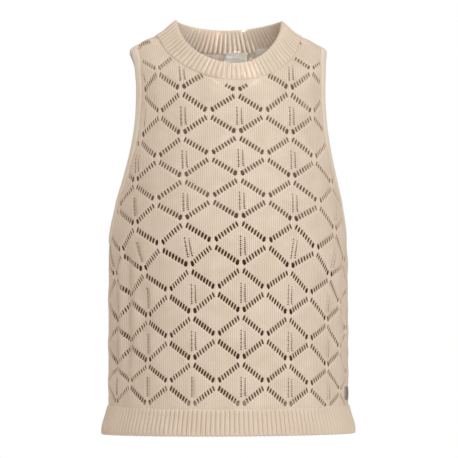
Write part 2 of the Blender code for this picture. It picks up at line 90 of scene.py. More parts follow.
def add_node(
    tree: bpy.types.NodeTree, kind: str, inputs: dict | None = None, **settings: object
) -> bpy.types.Node:
    """Adds one node to a tree.

    Args:
        tree: the node tree.
        kind: the node's type name.
        inputs: by input name or number, the socket that feeds it or its own value.
        settings: the node's properties.

    Returns:
        The new node.
    """
    node = tree.nodes.new(kind)
    for name, value in settings.items():
        setattr(node, name, value)
    for name, source in (inputs or {}).items():
        if isinstance(source, bpy.types.NodeSocket):
            tree.links.new(source, node.inputs[name])
        else:
            node.inputs[name].default_value = source
    return node


def wire(
    tree: bpy.types.NodeTree, kind: str, inputs: dict | None = None, **settings: object
) -> bpy.types.NodeSocket:
    """Adds one node to a tree, as add_node does, and gives its first output."""
    return add_node(tree, kind, inputs, **settings).outputs[0]


def calc(tree: bpy.types.NodeTree, operation: str, *values: object) -> bpy.types.NodeSocket:
    """Adds one sum to a tree, such as MULTIPLY_ADD, and gives its result."""
    return wire(tree, "ShaderNodeMath", dict(enumerate(values)), operation=operation)


def blend(tree: bpy.types.NodeTree, share: object, one: object, other: object) -> bpy.types.NodeSocket:
    """Adds a mix of two colours to a tree."""
    return add_node(tree, "ShaderNodeMix", {"Factor": share, 6: one, 7: other}, data_type="RGBA").outputs[2]


def add_bump(tree: bpy.types.NodeTree, strength: float, distance: float, height: object) -> bpy.types.NodeSocket:
    """Adds a bump to a tree and gives its normal."""
    return wire(tree, "ShaderNodeBump", {"Strength": strength, "Distance": distance, "Height": height})


def length_along(points: np.ndarray) -> np.ndarray:
    """The length run along a line of points, from 0 at the first."""
    return np.concatenate([[0.0], np.cumsum(np.linalg.norm(np.diff(points, axis=0), axis=-1))])


def ease(t: np.ndarray) -> np.ndarray:
    """A smooth step from 0 to 1."""
    t = np.clip(t, 0.0, 1.0)
    return t * t * (3 - 2 * t)


def smooth_curve(at: np.ndarray, knots: np.ndarray, values: np.ndarray) -> np.ndarray:
    """Reads a cubic curve through a table's values that never overshoots them.

    Args:
        at: where the curve is read.
        knots: the table's positions, rising.
        values: the table's values.

    Returns:
        The curve's values.
    """
    steps = np.diff(knots)
    slopes = np.diff(values) / steps
    turning = slopes[1:] * slopes[:-1] <= 0
    total = np.where(turning, 1.0, slopes[1:] + slopes[:-1])
    inner = np.where(turning, 0.0, 2 * slopes[1:] * slopes[:-1] / total)
    tangents = np.concatenate([slopes[:1], inner, slopes[-1:]])
    i = np.clip(np.searchsorted(knots, at) - 1, 0, len(steps) - 1)
    t = (at - knots[i]) / steps[i]
    rise = values[i] * (1 + 2 * t) * (1 - t) ** 2 + values[i + 1] * t**2 * (3 - 2 * t)
    return rise + steps[i] * (tangents[i] * t * (1 - t) ** 2 - tangents[i + 1] * t**2 * (1 - t))


def unit(vectors: np.ndarray) -> np.ndarray:
    """Vectors at length one."""
    return vectors / np.linalg.norm(vectors, axis=-1, keepdims=True)


def new_mesh_object(
    name: str, points: np.ndarray, faces: list, chart: np.ndarray | None = None
) -> bpy.types.Object:
    """Makes a smooth-shaded mesh object at the origin.

    Args:
        name: the object's name.
        points: its vertices.
        faces: its faces as lists of vertex numbers.
        chart: two values a vertex for the UV map named cloth.

    Returns:
        The object, linked to the scene.
    """
    mesh = bpy.data.meshes.new(name)
    mesh.from_pydata(points.tolist(), [], faces)
    if chart is not None:
        corner = np.empty(len(mesh.loops), np.int32)
        mesh.loops.foreach_get("vertex_index", corner)
        layer = mesh.uv_layers.new(name="cloth")
        layer.data.foreach_set("uv", chart[corner].astype(np.float32).ravel())
    mesh.shade_smooth()
    obj = bpy.data.objects.new(name, mesh)
    bpy.context.scene.collection.objects.link(obj)
    return obj


def double_wall(faces: list[list[int]], count: int) -> list[list[int]]:
    """Faces of a closed wall: a sheet, its copy on the other side and the rim between them.

    Args:
        faces: the sheet's faces.
        count: vertices in the sheet, which is where the numbers of the copy's begin.

    Returns:
        The wall's faces.
    """
    edges = {(face[n - 1], face[n]) for face in faces for n in range(len(face))}
    rim = [(one, other) for one, other in edges if (other, one) not in edges]
    whole = faces + [[count + v for v in reversed(face)] for face in faces]
    return whole + [[other, one, count + one, count + other] for one, other in rim]


def set_attribute(obj: bpy.types.Object, name: str, values: np.ndarray) -> None:
    """Stores a value or a vector for each vertex.

    Args:
        obj: the mesh object.
        name: the attribute's name.
        values: one number or three for each vertex.
    """
    kind, key = ("FLOAT", "value") if values.ndim == 1 else ("FLOAT_VECTOR", "vector")
    layer = obj.data.attributes.new(name, kind, "POINT")
    layer.data.foreach_set(key, values.astype(np.float32).ravel())


def run_tree(obj: bpy.types.Object, tree: bpy.types.NodeTree, values: dict[str, object]) -> bpy.types.Object:
    """Runs a geometry tree on an object and keeps the result as a plain mesh.

    Args:
        obj: the object that carries the tree's input mesh.
        tree: the geometry tree.
        values: the tree's named inputs.

    Returns:
        The same object with its new mesh and no modifier.
    """
    modifier = obj.modifiers.new("Knitting", "NODES")
    modifier.node_group = tree
    for socket in tree.interface.items_tree:
        if socket.item_type == "SOCKET" and socket.in_out == "INPUT" and socket.name in values:
            modifier[socket.identifier] = values[socket.name]
    obj.update_tag()
    bpy.context.view_layer.update()
    graph = bpy.context.evaluated_depsgraph_get()
    made = bpy.data.meshes.new_from_object(obj.evaluated_get(graph), depsgraph=graph)
    obj.modifiers.remove(modifier)
    made.name, obj.data = obj.name, made
    return obj


# ---------------------------------------------------------------------------------------------------------
# The worn form


@dataclass(frozen=True)
class Ring:
    """A level ring of the worn body, in millimetres."""

    z: float
    half_width: float
    front: float
    back: float
    side: float


@dataclass(frozen=True)
class Trough:
    """A soft vertical fold of the hanging cloth, in millimetres."""

    side: Side
    s: float
    top: float
    bottom: float
    depth: float
    half_width: float


@dataclass(frozen=True)
class WornForm:
    """The hollow worn body that every piece lies on."""

    rings: tuple[Ring, ...] = (
        Ring(-498.0, 158.0, 126.0, 104.5, 5.0),
        Ring(-484.0, 155.7, 124.0, 103.0, 5.0),
        Ring(-474.0, 152.5, 122.0, 101.0, 5.0),
        Ring(-461.0, 149.6, 120.5, 99.0, 5.0),
        Ring(-340.0, 149.2, 120.0, 96.0, 6.0),
        Ring(-282.0, 148.8, 118.0, 94.0, 8.0),
        Ring(-250.0, 147.8, 113.5, 93.5, 11.0),
        Ring(-210.0, 143.3, 106.5, 93.0, 16.0),
        Ring(-180.0, 138.5, 100.5, 92.5, 19.0),
        Ring(-150.0, 135.0, 92.5, 91.0, 22.0),
        Ring(-121.0, 133.0, 84.5, 89.0, 23.0),
        Ring(-91.0, 132.0, 78.0, 85.0, 23.0),
        Ring(-57.0, 131.0, 72.0, 76.5, 20.0),
        Ring(-46.0, 130.0, 66.0, 72.0, 15.5),
        Ring(-33.0, 127.5, 53.0, 65.0, 9.0),
        Ring(-19.0, 123.0, 31.0, 55.5, 3.0),
        Ring(-11.0, 111.5, 22.5, 44.0, 0.0),
        Ring(-3.5, 98.5, 16.0, 32.0, 0.0),
        Ring(0.0, 87.5, 13.0, 26.0, 0.0),
        Ring(4.0, 76.0, 10.0, 20.0, 0.0),
    )
    troughs: tuple[Trough, ...] = (
        Trough(Side.FRONT, -156.0, -240.0, -452.0, 5.5, 9.0),
        Trough(Side.FRONT, -184.0, -255.0, -455.0, 3.5, 8.0),
        Trough(Side.FRONT, -126.0, -275.0, -440.0, 2.4, 9.0),
        Trough(Side.FRONT, 172.0, -262.0, -445.0, 2.8, 12.0),
        Trough(Side.FRONT, 132.0, -300.0, -440.0, 1.6, 12.0),
        Trough(Side.BACK, -150.0, -255.0, -440.0, 3.4, 14.0),
        Trough(Side.BACK, 162.0, -262.0, -446.0, 3.6, 13.0),
        Trough(Side.BACK, 96.0, -290.0, -436.0, 2.0, 15.0),
        Trough(Side.BACK, -70.0, -300.0, -432.0, 1.8, 15.0),
    )

    def column(self, name: str) -> np.ndarray:
        """One column of the table of rings, in metres."""
        return np.array([getattr(ring, name) for ring in self.rings]) * MM

    def side_line_y(self, z: np.ndarray) -> np.ndarray:
        """How far behind the neck's axis the side lines lie."""
        return smooth_curve(z, self.column("z"), self.column("side"))

    def axes(self, side: Side, z: np.ndarray) -> tuple[np.ndarray, np.ndarray]:
        """Half width and depth, from the side line, of the ring at each height."""
        knots = self.column("z")
        width = smooth_curve(z, knots, self.column("half_width"))
        reach = smooth_curve(z, knots, self.column(side.name.lower()))
        return width, reach - side.value * self.side_line_y(z)

    @staticmethod
    def arc_length(angle: np.ndarray, width: np.ndarray, depth: np.ndarray) -> np.ndarray:
        """Length along an ellipse from the centre line to an angle."""
        at = 0.5 * angle[..., None] * (GAUSS_AT + 1)
        speed = np.hypot(width[..., None] * np.cos(at), depth[..., None] * np.sin(at))
        return 0.5 * angle * (speed * GAUSS_WEIGHT).sum(-1)

    def angle_at(self, length: np.ndarray, width: np.ndarray, depth: np.ndarray) -> np.ndarray:
        """The angle that lies a given length along the ellipse."""
        angle = length / np.maximum(0.5 * (width + depth), PROBE)
        for _ in range(7):
            speed = np.hypot(width * np.cos(angle), depth * np.sin(angle))
            angle = angle - (self.arc_length(angle, width, depth) - length) / speed
        return angle

    def side_length(self, side: Side, z: np.ndarray) -> np.ndarray:
        """Length along the ring from the panel's centre line to the side line."""
        width, depth = self.axes(side, z)
        return self.arc_length(np.full_like(width, QUARTER_TURN), width, depth)

    def drawn_in(self, side: Side, s: np.ndarray, z: np.ndarray) -> np.ndarray:
        """How far the troughs draw the cloth in."""
        total = np.zeros_like(s)
        for fold in self.troughs:
            if fold.side is side:
                middle, reach = (fold.top + fold.bottom) / 2 * MM, (fold.top - fold.bottom) / 2 * MM
                along = ease(1.6 * (1 - np.abs(z - middle) / reach))
                across = np.exp(-(((s - fold.s * MM) / (fold.half_width * MM)) ** 2))
                total = total + fold.depth * MM * along * across
        return total

    def surface(self, side: Side, s: np.ndarray, z: np.ndarray) -> np.ndarray:
        """Points of the cloth's middle layer."""
        width, depth = self.axes(side, z)
        angle = self.angle_at(s, width, depth)
        fold = self.drawn_in(side, s, z)
        x = (width - fold) * np.sin(angle)
        y = self.side_line_y(z) + side.value * (depth - fold) * np.cos(angle)
        return np.stack([x, y, z], -1)

    def outward(self, side: Side, s: np.ndarray, z: np.ndarray) -> np.ndarray:
        """Unit normals of the cloth, away from the wearer."""
        along = self.surface(side, s + PROBE, z) - self.surface(side, s - PROBE, z)
        up = self.surface(side, s, z + PROBE) - self.surface(side, s, z - PROBE)
        return unit(np.cross(along, up) * -side.value)


@dataclass(frozen=True)
class Pattern:
    """Where the cuts of the garment run on the worn form, in metres unless a name says otherwise."""

    form: WornForm = field(default_factory=WornForm)
    seam_gap: float = 0.3 * MM
    hem_seam_z: float = -461.0 * MM
    hem_z: float = -492.0 * MM
    hem_side_drop: float = 4.5 * MM
    shoulder_tip_z: float = -18.0 * MM
    underarm_z: float = -249.0 * MM
    armband_width: float = 9.5 * MM
    neck_half_width: float = 87.5 * MM
    neck_drop: tuple[float, float] = (57.0 * MM, 18.0 * MM)
    neck_drop_power: float = 1.1
    # Height, then the length from the side line to the finished edge forward and backward, in millimetres.
    armhole_rows: tuple[tuple[float, float, float], ...] = (
        (-245.5, 7.5, 8.0),
        (-234.0, 12.0, 13.5),
        (-220.0, 16.0, 18.5),
        (-206.0, 20.0, 23.0),
        (-180.0, 31.0, 31.0),
        (-150.0, 41.0, 37.5),
        (-121.0, 46.0, 41.0),
        (-91.0, 47.0, 42.0),
        (-60.0, 43.0, 38.5),
        (-42.0, 31.5, 32.5),
        (-30.0, 18.0, 22.0),
        (-23.0, 8.0, 10.5),
    )

    def armhole_loop(self, steps: int) -> np.ndarray:
        """The armhole's finished edge, from the underarm up the front, over and down the back.

        Args:
            steps: points for each row of the table.

        Returns:
            Length forward of the side line and height of each point.
        """
        rows = [(0.0, self.underarm_z)] + [(f * MM, z * MM) for z, f, _ in self.armhole_rows]
        rows += [(0.0, self.shoulder_tip_z)] + [(-b * MM, z * MM) for z, _, b in reversed(self.armhole_rows)]
        now = np.array(rows)
        before, after, later = np.roll(now, 1, 0), np.roll(now, -1, 0), np.roll(now, -2, 0)
        parts = []
        for t in np.arange(steps) / steps:
            parts.append(
                0.5
                * (
                    2 * now
                    + (after - before) * t
                    + (2 * before - 5 * now + 4 * after - later) * t**2
                    + (3 * now - before - 3 * after + later) * t**3
                )
            )
        return np.stack(parts, 1).reshape(-1, 2)

    def by_side_line(self, read: Callable, w: np.ndarray, z: np.ndarray) -> np.ndarray:
        """Reads the form's surface or normals by the armhole's chart, on the wearer's left."""
        front = read(Side.FRONT, self.form.side_length(Side.FRONT, z) - w, z)
        back = read(Side.BACK, self.form.side_length(Side.BACK, z) + w, z)
        return np.where((w >= 0)[..., None], front, back)

    def moved_out(self, loop: np.ndarray, distance: float) -> np.ndarray:
        """The armhole's loop moved a true distance across the cloth, away from the hole."""
        steps = 3
        for _ in range(steps):
            w, z = loop[:, 0], loop[:, 1]
            read = self.form.surface
            left, right = self.by_side_line(read, w - PROBE, z), self.by_side_line(read, w + PROBE, z)
            below, above = self.by_side_line(read, w, z - PROBE), self.by_side_line(read, w, z + PROBE)
            across, up = (right - left) / (2 * PROBE), (above - below) / (2 * PROBE)
            ww, wz, zz = (across * across).sum(-1), (across * up).sum(-1), (up * up).sum(-1)
            tangent = np.roll(loop, -1, 0) - np.roll(loop, 1, 0)
            a, b = tangent[:, 1], -tangent[:, 0]
            step = np.stack([zz * a - wz * b, ww * b - wz * a], -1) / (ww * zz - wz**2)[:, None]
            length = np.sqrt(a * step[:, 0] + b * step[:, 1])
            loop = loop + step / length[:, None] * distance / steps
            loop[0, 0] = loop[len(loop) // 2, 0] = 0.0
        return loop

    def neckline(self, side: Side, angle: np.ndarray) -> np.ndarray:
        """Chart points of the neckline by the angle from the centre line."""
        drop = self.neck_drop[0 if side is Side.FRONT else 1]
        z = -drop * np.abs(np.cos(angle)) ** self.neck_drop_power
        width, depth = self.form.axes(side, z)
        across = np.arcsin(np.clip(self.neck_half_width * np.sin(angle) / width, -1, 1))
        return np.stack([self.form.arc_length(across, width, depth), z], -1)

    def outline(self, side: Side) -> np.ndarray:
        """A panel's cut edge all round in its chart, anticlockwise."""

        def on_seam(z: np.ndarray) -> np.ndarray:
            return np.stack([self.form.side_length(side, z) - self.seam_gap / 2, z], -1)

        corner = on_seam(np.array([self.hem_seam_z]))[0]
        hem = np.linspace((0, self.hem_seam_z), corner, 12)
        armhole = self.moved_out(self.armhole_loop(6), self.armband_width + self.seam_gap)
        if side is Side.BACK:
            armhole = np.roll(armhole[::-1], 1, 0) * (-1, 1)
        w, z = armhole[: len(armhole) // 2 + 1].T
        arm = np.stack([self.form.side_length(side, z) - np.maximum(w, self.seam_gap / 2), z], -1)
        seam = on_seam(np.linspace(self.hem_seam_z, arm[0, 1], 24))
        neck = self.neckline(side, np.linspace(QUARTER_TURN, 0, 41))
        neck[0] = on_seam(neck[:1, 1])[0]
        shoulder = on_seam(np.linspace(arm[-1, 1], neck[0, 1], 9))
        half = np.concatenate([hem[:-1], seam[:-1], arm, shoulder[1:-1], neck])
        return np.concatenate([half, half[1:-1][::-1] * (-1, 1)])

    @staticmethod
    def depth_inside(points: np.ndarray, outline: np.ndarray) -> np.ndarray:
        """How far each chart point lies inside an outline; outside it is negative."""
        a, b = outline, np.roll(outline, -1, 0)
        found = []
        for start in range(0, len(points), 4000):
            p = points[start : start + 4000, None]
            along = ((p - a) * (b - a)).sum(-1) / ((b - a) ** 2).sum(-1)
            nearest = a + (b - a) * np.clip(along, 0, 1)[..., None]
            distance = np.linalg.norm(p - nearest, axis=-1).min(1)
            crosses = (a[:, 1] > p[..., 1]) != (b[:, 1] > p[..., 1])
            with np.errstate(divide="ignore", invalid="ignore"):
                at = a[:, 0] + (p[..., 1] - a[:, 1]) / (b[:, 1] - a[:, 1]) * (b[:, 0] - a[:, 0])
            inside = (crosses & (p[..., 0] < at)).sum(1) % 2 == 1
            found.append(np.where(inside, distance, -distance))
        return np.concatenate(found)


# ---------------------------------------------------------------------------------------------------------
# Finishes


@dataclass(frozen=True)
class Finish:
    """A material that one shader describes."""

    name: str

    def surface(self, tree: bpy.types.NodeTree) -> dict:
        """Adds the finish's nodes to a tree and gives the inputs of its shader."""
        raise NotImplementedError

    def make(self) -> bpy.types.Material:
        """Builds the material; the knit, the satin and the tag read the UV map named cloth, in metres."""
        material = bpy.data.materials.new(self.name)
        material.use_nodes = True
        tree = material.node_tree
        tree.nodes.clear()
        shader = wire(tree, "ShaderNodeBsdfPrincipled", self.surface(tree))
        add_node(tree, "ShaderNodeOutputMaterial", {"Surface": shader})
        return material


@dataclass(frozen=True)
class CottonKnit(Finish):
    """Combed cotton yarn, knitted in stocking stitch: matt, softly fuzzed, with a V for every stitch.

    The charted length of a wale and a course gives the V its real size.
    """

    colour: str = "EADFD1"
    shade: str = "BCA892"
    # A rail's painted highlight, and the painted shade in pits, creases, rib grooves and on the inside.
    rail: str = "F6E7D8"
    wrong_side: str = "74472C"
    wale: float = 2.6 * MM
    course: float = 1.7 * MM
    stitch_height: float = 0.35 * MM

    def surface(self, tree: bpy.types.NodeTree) -> dict:
        """Adds the knit's nodes."""
        chart = wire(tree, "ShaderNodeUVMap", uv_map="cloth")
        part = add_node(tree, "ShaderNodeSeparateXYZ", {0: chart}).outputs
        # Position in a wale, from -1 to 1, and the slant of the two legs of a stitch.
        wales = calc(tree, "FRACT", calc(tree, "DIVIDE", part[0], self.wale))
        leg = calc(tree, "ABSOLUTE", calc(tree, "MULTIPLY_ADD", wales, 2.0, -1.0))
        up = calc(tree, "MULTIPLY_ADD", part[1], 1 / self.course, leg)
        wave = calc(tree, "MULTIPLY_ADD", calc(tree, "SINE", calc(tree, "MULTIPLY", up, math.tau)), 0.5, 0.5)
        hump = calc(tree, "SINE", calc(tree, "MULTIPLY", leg, math.pi))
        stitch = calc(tree, "MULTIPLY", calc(tree, "MULTIPLY_ADD", wave, 0.45, 0.55), hump)
        # The furrow between two wales is deeper than the one within a stitch, and painted darker as shade.
        furrow = calc(tree, "POWER", leg, 4.0)
        stitch = calc(tree, "MULTIPLY_ADD", furrow, -0.9, calc(tree, "MULTIPLY_ADD", stitch, 0.45, 0.55))
        place = add_node(tree, "ShaderNodeTexCoord").outputs["Object"]
        fuzz, cloud = (
            add_node(
                tree, "ShaderNodeTexNoise", {"Vector": place, "Scale": scale, "Detail": detail, "Roughness": rough}
            ).outputs["Fac"]
            for scale, detail, rough in ((900.0, 3.0, 0.6), (38.0, 2.0, 0.5))
        )
        height = calc(tree, "MULTIPLY_ADD", fuzz, 0.25, stitch)
        # The tone paints shade into the stitch's hollows, with random cloud and fuzz on top.
        tone = calc(tree, "MULTIPLY_ADD", stitch, 0.65, calc(tree, "MULTIPLY_ADD", cloud, 0.5, -0.15))
        tone = calc(tree, "MULTIPLY_ADD", fuzz, 0.4, tone)
        tint = blend(tree, tone, hex_colour(self.shade), hex_colour(self.colour))
        # The mesh says where a rail gets a painted highlight and where the knit gets painted shade.
        for name, colour, strength in (("rail", self.rail, 0.3), ("wrong_side", self.wrong_side, 0.9)):
            amount = add_node(tree, "ShaderNodeAttribute", attribute_name=name).outputs["Fac"]
            tint = blend(tree, calc(tree, "MULTIPLY", amount, strength), tint, hex_colour(colour))
        return {
            "Base Color": tint,
            "Roughness": 0.92,
            "IOR": 1.5,
            "Specular IOR Level": 0.25,
            "Sheen Weight": 0.18,
            "Sheen Roughness": 0.45,
            "Normal": add_bump(tree, 0.5, self.stitch_height, height),
        }


@dataclass(frozen=True)
class TwistedYarn(Finish):
    """Combed cotton yarn of two twisted ends: matt, with a slanting furrow between the ends."""

    colour: str = "EBDCCA"
    shade: str = "C9B39B"
    twist: float = 1.1 * MM

    def surface(self, tree: bpy.types.NodeTree) -> dict:
        """Adds the yarn's nodes."""
        place = add_node(tree, "ShaderNodeTexCoord").outputs["Object"]
        ends = add_node(
            tree,
            "ShaderNodeTexWave",
            {
                "Vector": place,
                "Scale": 1 / self.twist / 3.2,
                "Distortion": 1.2,
                "Detail": 1.0,
                "Detail Scale": 2.0,
            },
            bands_direction="DIAGONAL",
        ).outputs["Fac"]
        # The furrow between the two ends is painted darker, as shade.
        return {
            "Base Color": blend(tree, ends, hex_colour(self.shade), hex_colour(self.colour)),
            "Roughness": 0.92,
            "Specular IOR Level": 0.25,
            "Sheen Weight": 0.18,
            "Normal": add_bump(tree, 0.4, 0.2 * MM, ends),
        }


@dataclass(frozen=True)
class SatinLabel(Finish):
    """White polyester satin, woven in fine flat threads: a soft shine along the weft."""

    colour: str = "F8F7F4"
    shade: str = "E9E8E4"
    thread: float = 0.5 * MM  # drawn coarser than the real 0.2 mm, so that the weave shows

    def surface(self, tree: bpy.types.NodeTree) -> dict:
        """Adds the satin's nodes."""
        wave = add_node(
            tree,
            "ShaderNodeTexWave",
            {
                "Vector": wire(tree, "ShaderNodeUVMap", uv_map="cloth"),
                "Scale": 1 / self.thread / 3.2,
                "Distortion": 0.6,
                "Detail": 1.0,
            },
            bands_direction="Y",
        ).outputs["Fac"]
        return {
            "Base Color": blend(tree, wave, hex_colour(self.shade), hex_colour(self.colour)),
            "Roughness": 0.45,
            "Sheen Weight": 0.15,
            "Normal": add_bump(tree, 0.3, 0.1 * MM, wave),
        }


@dataclass(frozen=True)
class GreyTag(Finish):
    """Brushed grey zinc alloy: fine lines across and a low shine."""

    colour: str = "A9A8A7"

    def surface(self, tree: bpy.types.NodeTree) -> dict:
        """Adds the metal's nodes."""
        chart = wire(tree, "ShaderNodeUVMap", uv_map="cloth")
        stretched = wire(tree, "ShaderNodeMapping", {"Vector": chart, "Scale": (120.0, 2600.0, 1.0)})
        noise = add_node(tree, "ShaderNodeTexNoise", {"Vector": stretched, "Scale": 1.0, "Detail": 2.0})
        lines = noise.outputs["Fac"]
        return {
            "Base Color": hex_colour(self.colour),
            "Metallic": 0.8,
            "Roughness": wire(tree, "ShaderNodeMapRange", {"Value": lines, "To Min": 0.35, "To Max": 0.6}),
            "Normal": add_bump(tree, 0.2, 0.05 * MM, lines),
        }


# ---------------------------------------------------------------------------------------------------------
# Geometry trees


def new_geometry_tree(name: str, inputs: dict[str, tuple[str, object]]) -> tuple[bpy.types.NodeTree, object]:
    """Makes a geometry tree that takes a mesh and further inputs, and gives a mesh.

    Args:
        name: the tree's name.
        inputs: kind and default of each input after the mesh.

    Returns:
        The tree and the sockets of its inputs.
    """
    tree = bpy.data.node_groups.new(name, "GeometryNodeTree")
    tree.interface.new_socket(name="Geometry", in_out="INPUT", socket_type="NodeSocketGeometry")
    for key, (kind, default) in inputs.items():
        socket = tree.interface.new_socket(name=key, in_out="INPUT", socket_type="NodeSocket" + kind)
        if default is not None:
            socket.default_value = default
    tree.interface.new_socket(name="Geometry", in_out="OUTPUT", socket_type="NodeSocketGeometry")
    return tree, add_node(tree, "NodeGroupInput").outputs


def read_attribute(tree: bpy.types.NodeTree, name: str, kind: str) -> bpy.types.NodeSocket:
    """Adds a reading of one of the mesh's attributes to a tree."""
    return wire(tree, "GeometryNodeInputNamedAttribute", {"Name": name}, data_type=kind)


def yarn_tree() -> bpy.types.NodeTree:
    """Short lengths of yarn laid on points, as rungs and stitches are.

    Each point's vectors named along, out and size turn and stretch its length of yarn.

    Returns:
        The geometry tree.
    """
    inputs = {
        "Yarn radius": ("Float", 0.8 * MM),
        "Bow": ("Float", 0.2 * MM),
        "Sides": ("Int", 6),
        "Segments": ("Int", 3),
        "Finish": ("Material", None),
    }
    tree, given = new_geometry_tree("Lengths of yarn", inputs)
    line = wire(tree, "GeometryNodeCurvePrimitiveLine", {"Start": (0.0, 0.0, -0.5), "End": (0.0, 0.0, 0.5)})
    count = calc(tree, "ADD", given["Segments"], 1.0)
    resampled = wire(tree, "GeometryNodeResampleCurve", {"Curve": line, "Count": count})
    # Each length is bowed out most at its middle.
    height = add_node(tree, "ShaderNodeSeparateXYZ", {0: wire(tree, "GeometryNodeInputPosition")}).outputs[2]
    arch = calc(tree, "MULTIPLY_ADD", calc(tree, "MULTIPLY", height, height), -4.0, 1.0)
    offset = wire(tree, "ShaderNodeCombineXYZ", {0: calc(tree, "MULTIPLY", arch, given["Bow"])})
    bowed = wire(tree, "GeometryNodeSetPosition", {"Geometry": resampled, "Offset": offset})
    ring = wire(
        tree,
        "GeometryNodeCurvePrimitiveCircle",
        {"Resolution": given["Sides"], "Radius": given["Yarn radius"]},
        mode="RADIUS",
    )
    tube = wire(tree, "GeometryNodeCurveToMesh", {"Curve": bowed, "Profile Curve": ring, "Fill Caps": True})
    along, out, size = (read_attribute(tree, name, "FLOAT_VECTOR") for name in ("along", "out", "size"))
    align = "FunctionNodeAlignRotationToVector"
    turned = wire(tree, align, {"Vector": along}, axis="Z")
    turned = wire(tree, align, {"Rotation": turned, "Vector": out}, axis="X", pivot_axis="Z")
    laid = wire(
        tree,
        "GeometryNodeInstanceOnPoints",
        {"Points": given["Geometry"], "Instance": tube, "Rotation": turned, "Scale": size},
    )
    real = wire(tree, "GeometryNodeRealizeInstances", {"Geometry": laid})
    smooth = wire(tree, "GeometryNodeSetShadeSmooth", {"Geometry": real})
    done = wire(tree, "GeometryNodeSetMaterial", {"Geometry": smooth, "Material": given["Finish"]})
    add_node(tree, "NodeGroupOutput", {"Geometry": done})
    return tree


def rib_tree() -> bpy.types.NodeTree:
    """Ribs of two wales and a groove, raised on a smooth band.

    Each point's phase counts ribs, its lift says how far a rib stands there, and out is its direction.

    Returns:
        The geometry tree.
    """
    inputs = {"Groove share": ("Float", 0.36), "Wale dent": ("Float", 0.06), "Finish": ("Material", None)}
    tree, given = new_geometry_tree("Two by one ribs", inputs)
    phase, lift = (read_attribute(tree, name, "FLOAT") for name in ("phase", "lift"))
    out = read_attribute(tree, "out", "FLOAT_VECTOR")
    away = calc(tree, "ABSOLUTE", calc(tree, "SUBTRACT", calc(tree, "FRACT", phase), 0.5))
    rim = calc(tree, "SUBTRACT", 0.5, given["Groove share"])
    crown = wire(
        tree,
        "ShaderNodeMapRange",
        {"Value": away, "From Min": rim, "From Max": 0.5, "To Min": 1.0, "To Max": 0.0},
        interpolation_type="SMOOTHSTEP",
    )
    dent = wire(
        tree,
        "ShaderNodeMapRange",
        {"Value": away, "From Min": 0.0, "From Max": 0.16, "To Min": given["Wale dent"], "To Max": 0.0},
        interpolation_type="SMOOTHSTEP",
    )
    height = calc(tree, "MULTIPLY", calc(tree, "SUBTRACT", crown, dent), lift)
    offset = wire(tree, "ShaderNodeVectorMath", {0: out, "Scale": height}, operation="SCALE")
    moved = wire(tree, "GeometryNodeSetPosition", {"Geometry": given["Geometry"], "Offset": offset})
    real = wire(tree, "GeometryNodeRealizeInstances", {"Geometry": moved})
    done = wire(tree, "GeometryNodeSetMaterial", {"Geometry": real, "Material": given["Finish"]})
    add_node(tree, "NodeGroupOutput", {"Geometry": done})
    return tree


@dataclass
class Workshop:
    """What the pieces share: the pattern, the finishes and the geometry trees."""

    pattern: Pattern = field(default_factory=Pattern)
    knit: bpy.types.Material = field(default_factory=CottonKnit("Combed cotton stocking stitch").make)
    rib: bpy.types.Material = field(
        default_factory=CottonKnit("Combed cotton rib", "EADECF", "CDBBA6", wale=2.8 * MM).make
    )
    band: bpy.types.Material = field(
        default_factory=CottonKnit("Combed cotton armhole band", "EFE7DB", "D6C7B4", wale=2.0 * MM).make
    )
    yarn: bpy.types.Material = field(default_factory=TwistedYarn("Twisted combed cotton yarn").make)
    satin: bpy.types.Material = field(default_factory=SatinLabel("White woven satin").make)
    metal: bpy.types.Material = field(default_factory=GreyTag("Brushed zinc alloy").make)
    lengths: bpy.types.NodeTree = field(default_factory=yarn_tree)
    ribs: bpy.types.NodeTree = field(default_factory=rib_tree)

    def lay_yarn(
        self,
        name: str,
        points: np.ndarray,
        along: np.ndarray,
        out: np.ndarray,
        size: np.ndarray,
        radius: float,
        **inputs: object,
    ) -> bpy.types.Object:
        """Lays a length of yarn on each point.

        Args:
            name: the piece's name.
            points: where each length has its middle.
            along: the direction that each runs in.
            out: the direction that each bows towards.
            size: thickness twice and length of each.
            radius: radius of the yarn.
            inputs: further inputs of the tree.

        Returns:
            The piece.
        """
        obj = new_mesh_object(name, points, [])
        for key, values in (("along", along), ("out", out), ("size", size)):
            set_attribute(obj, key, values)
        values = {"Yarn radius": radius, "Finish": self.yarn} | inputs
        return run_tree(obj, self.lengths, values)


# ---------------------------------------------------------------------------------------------------------
# Lattice panels


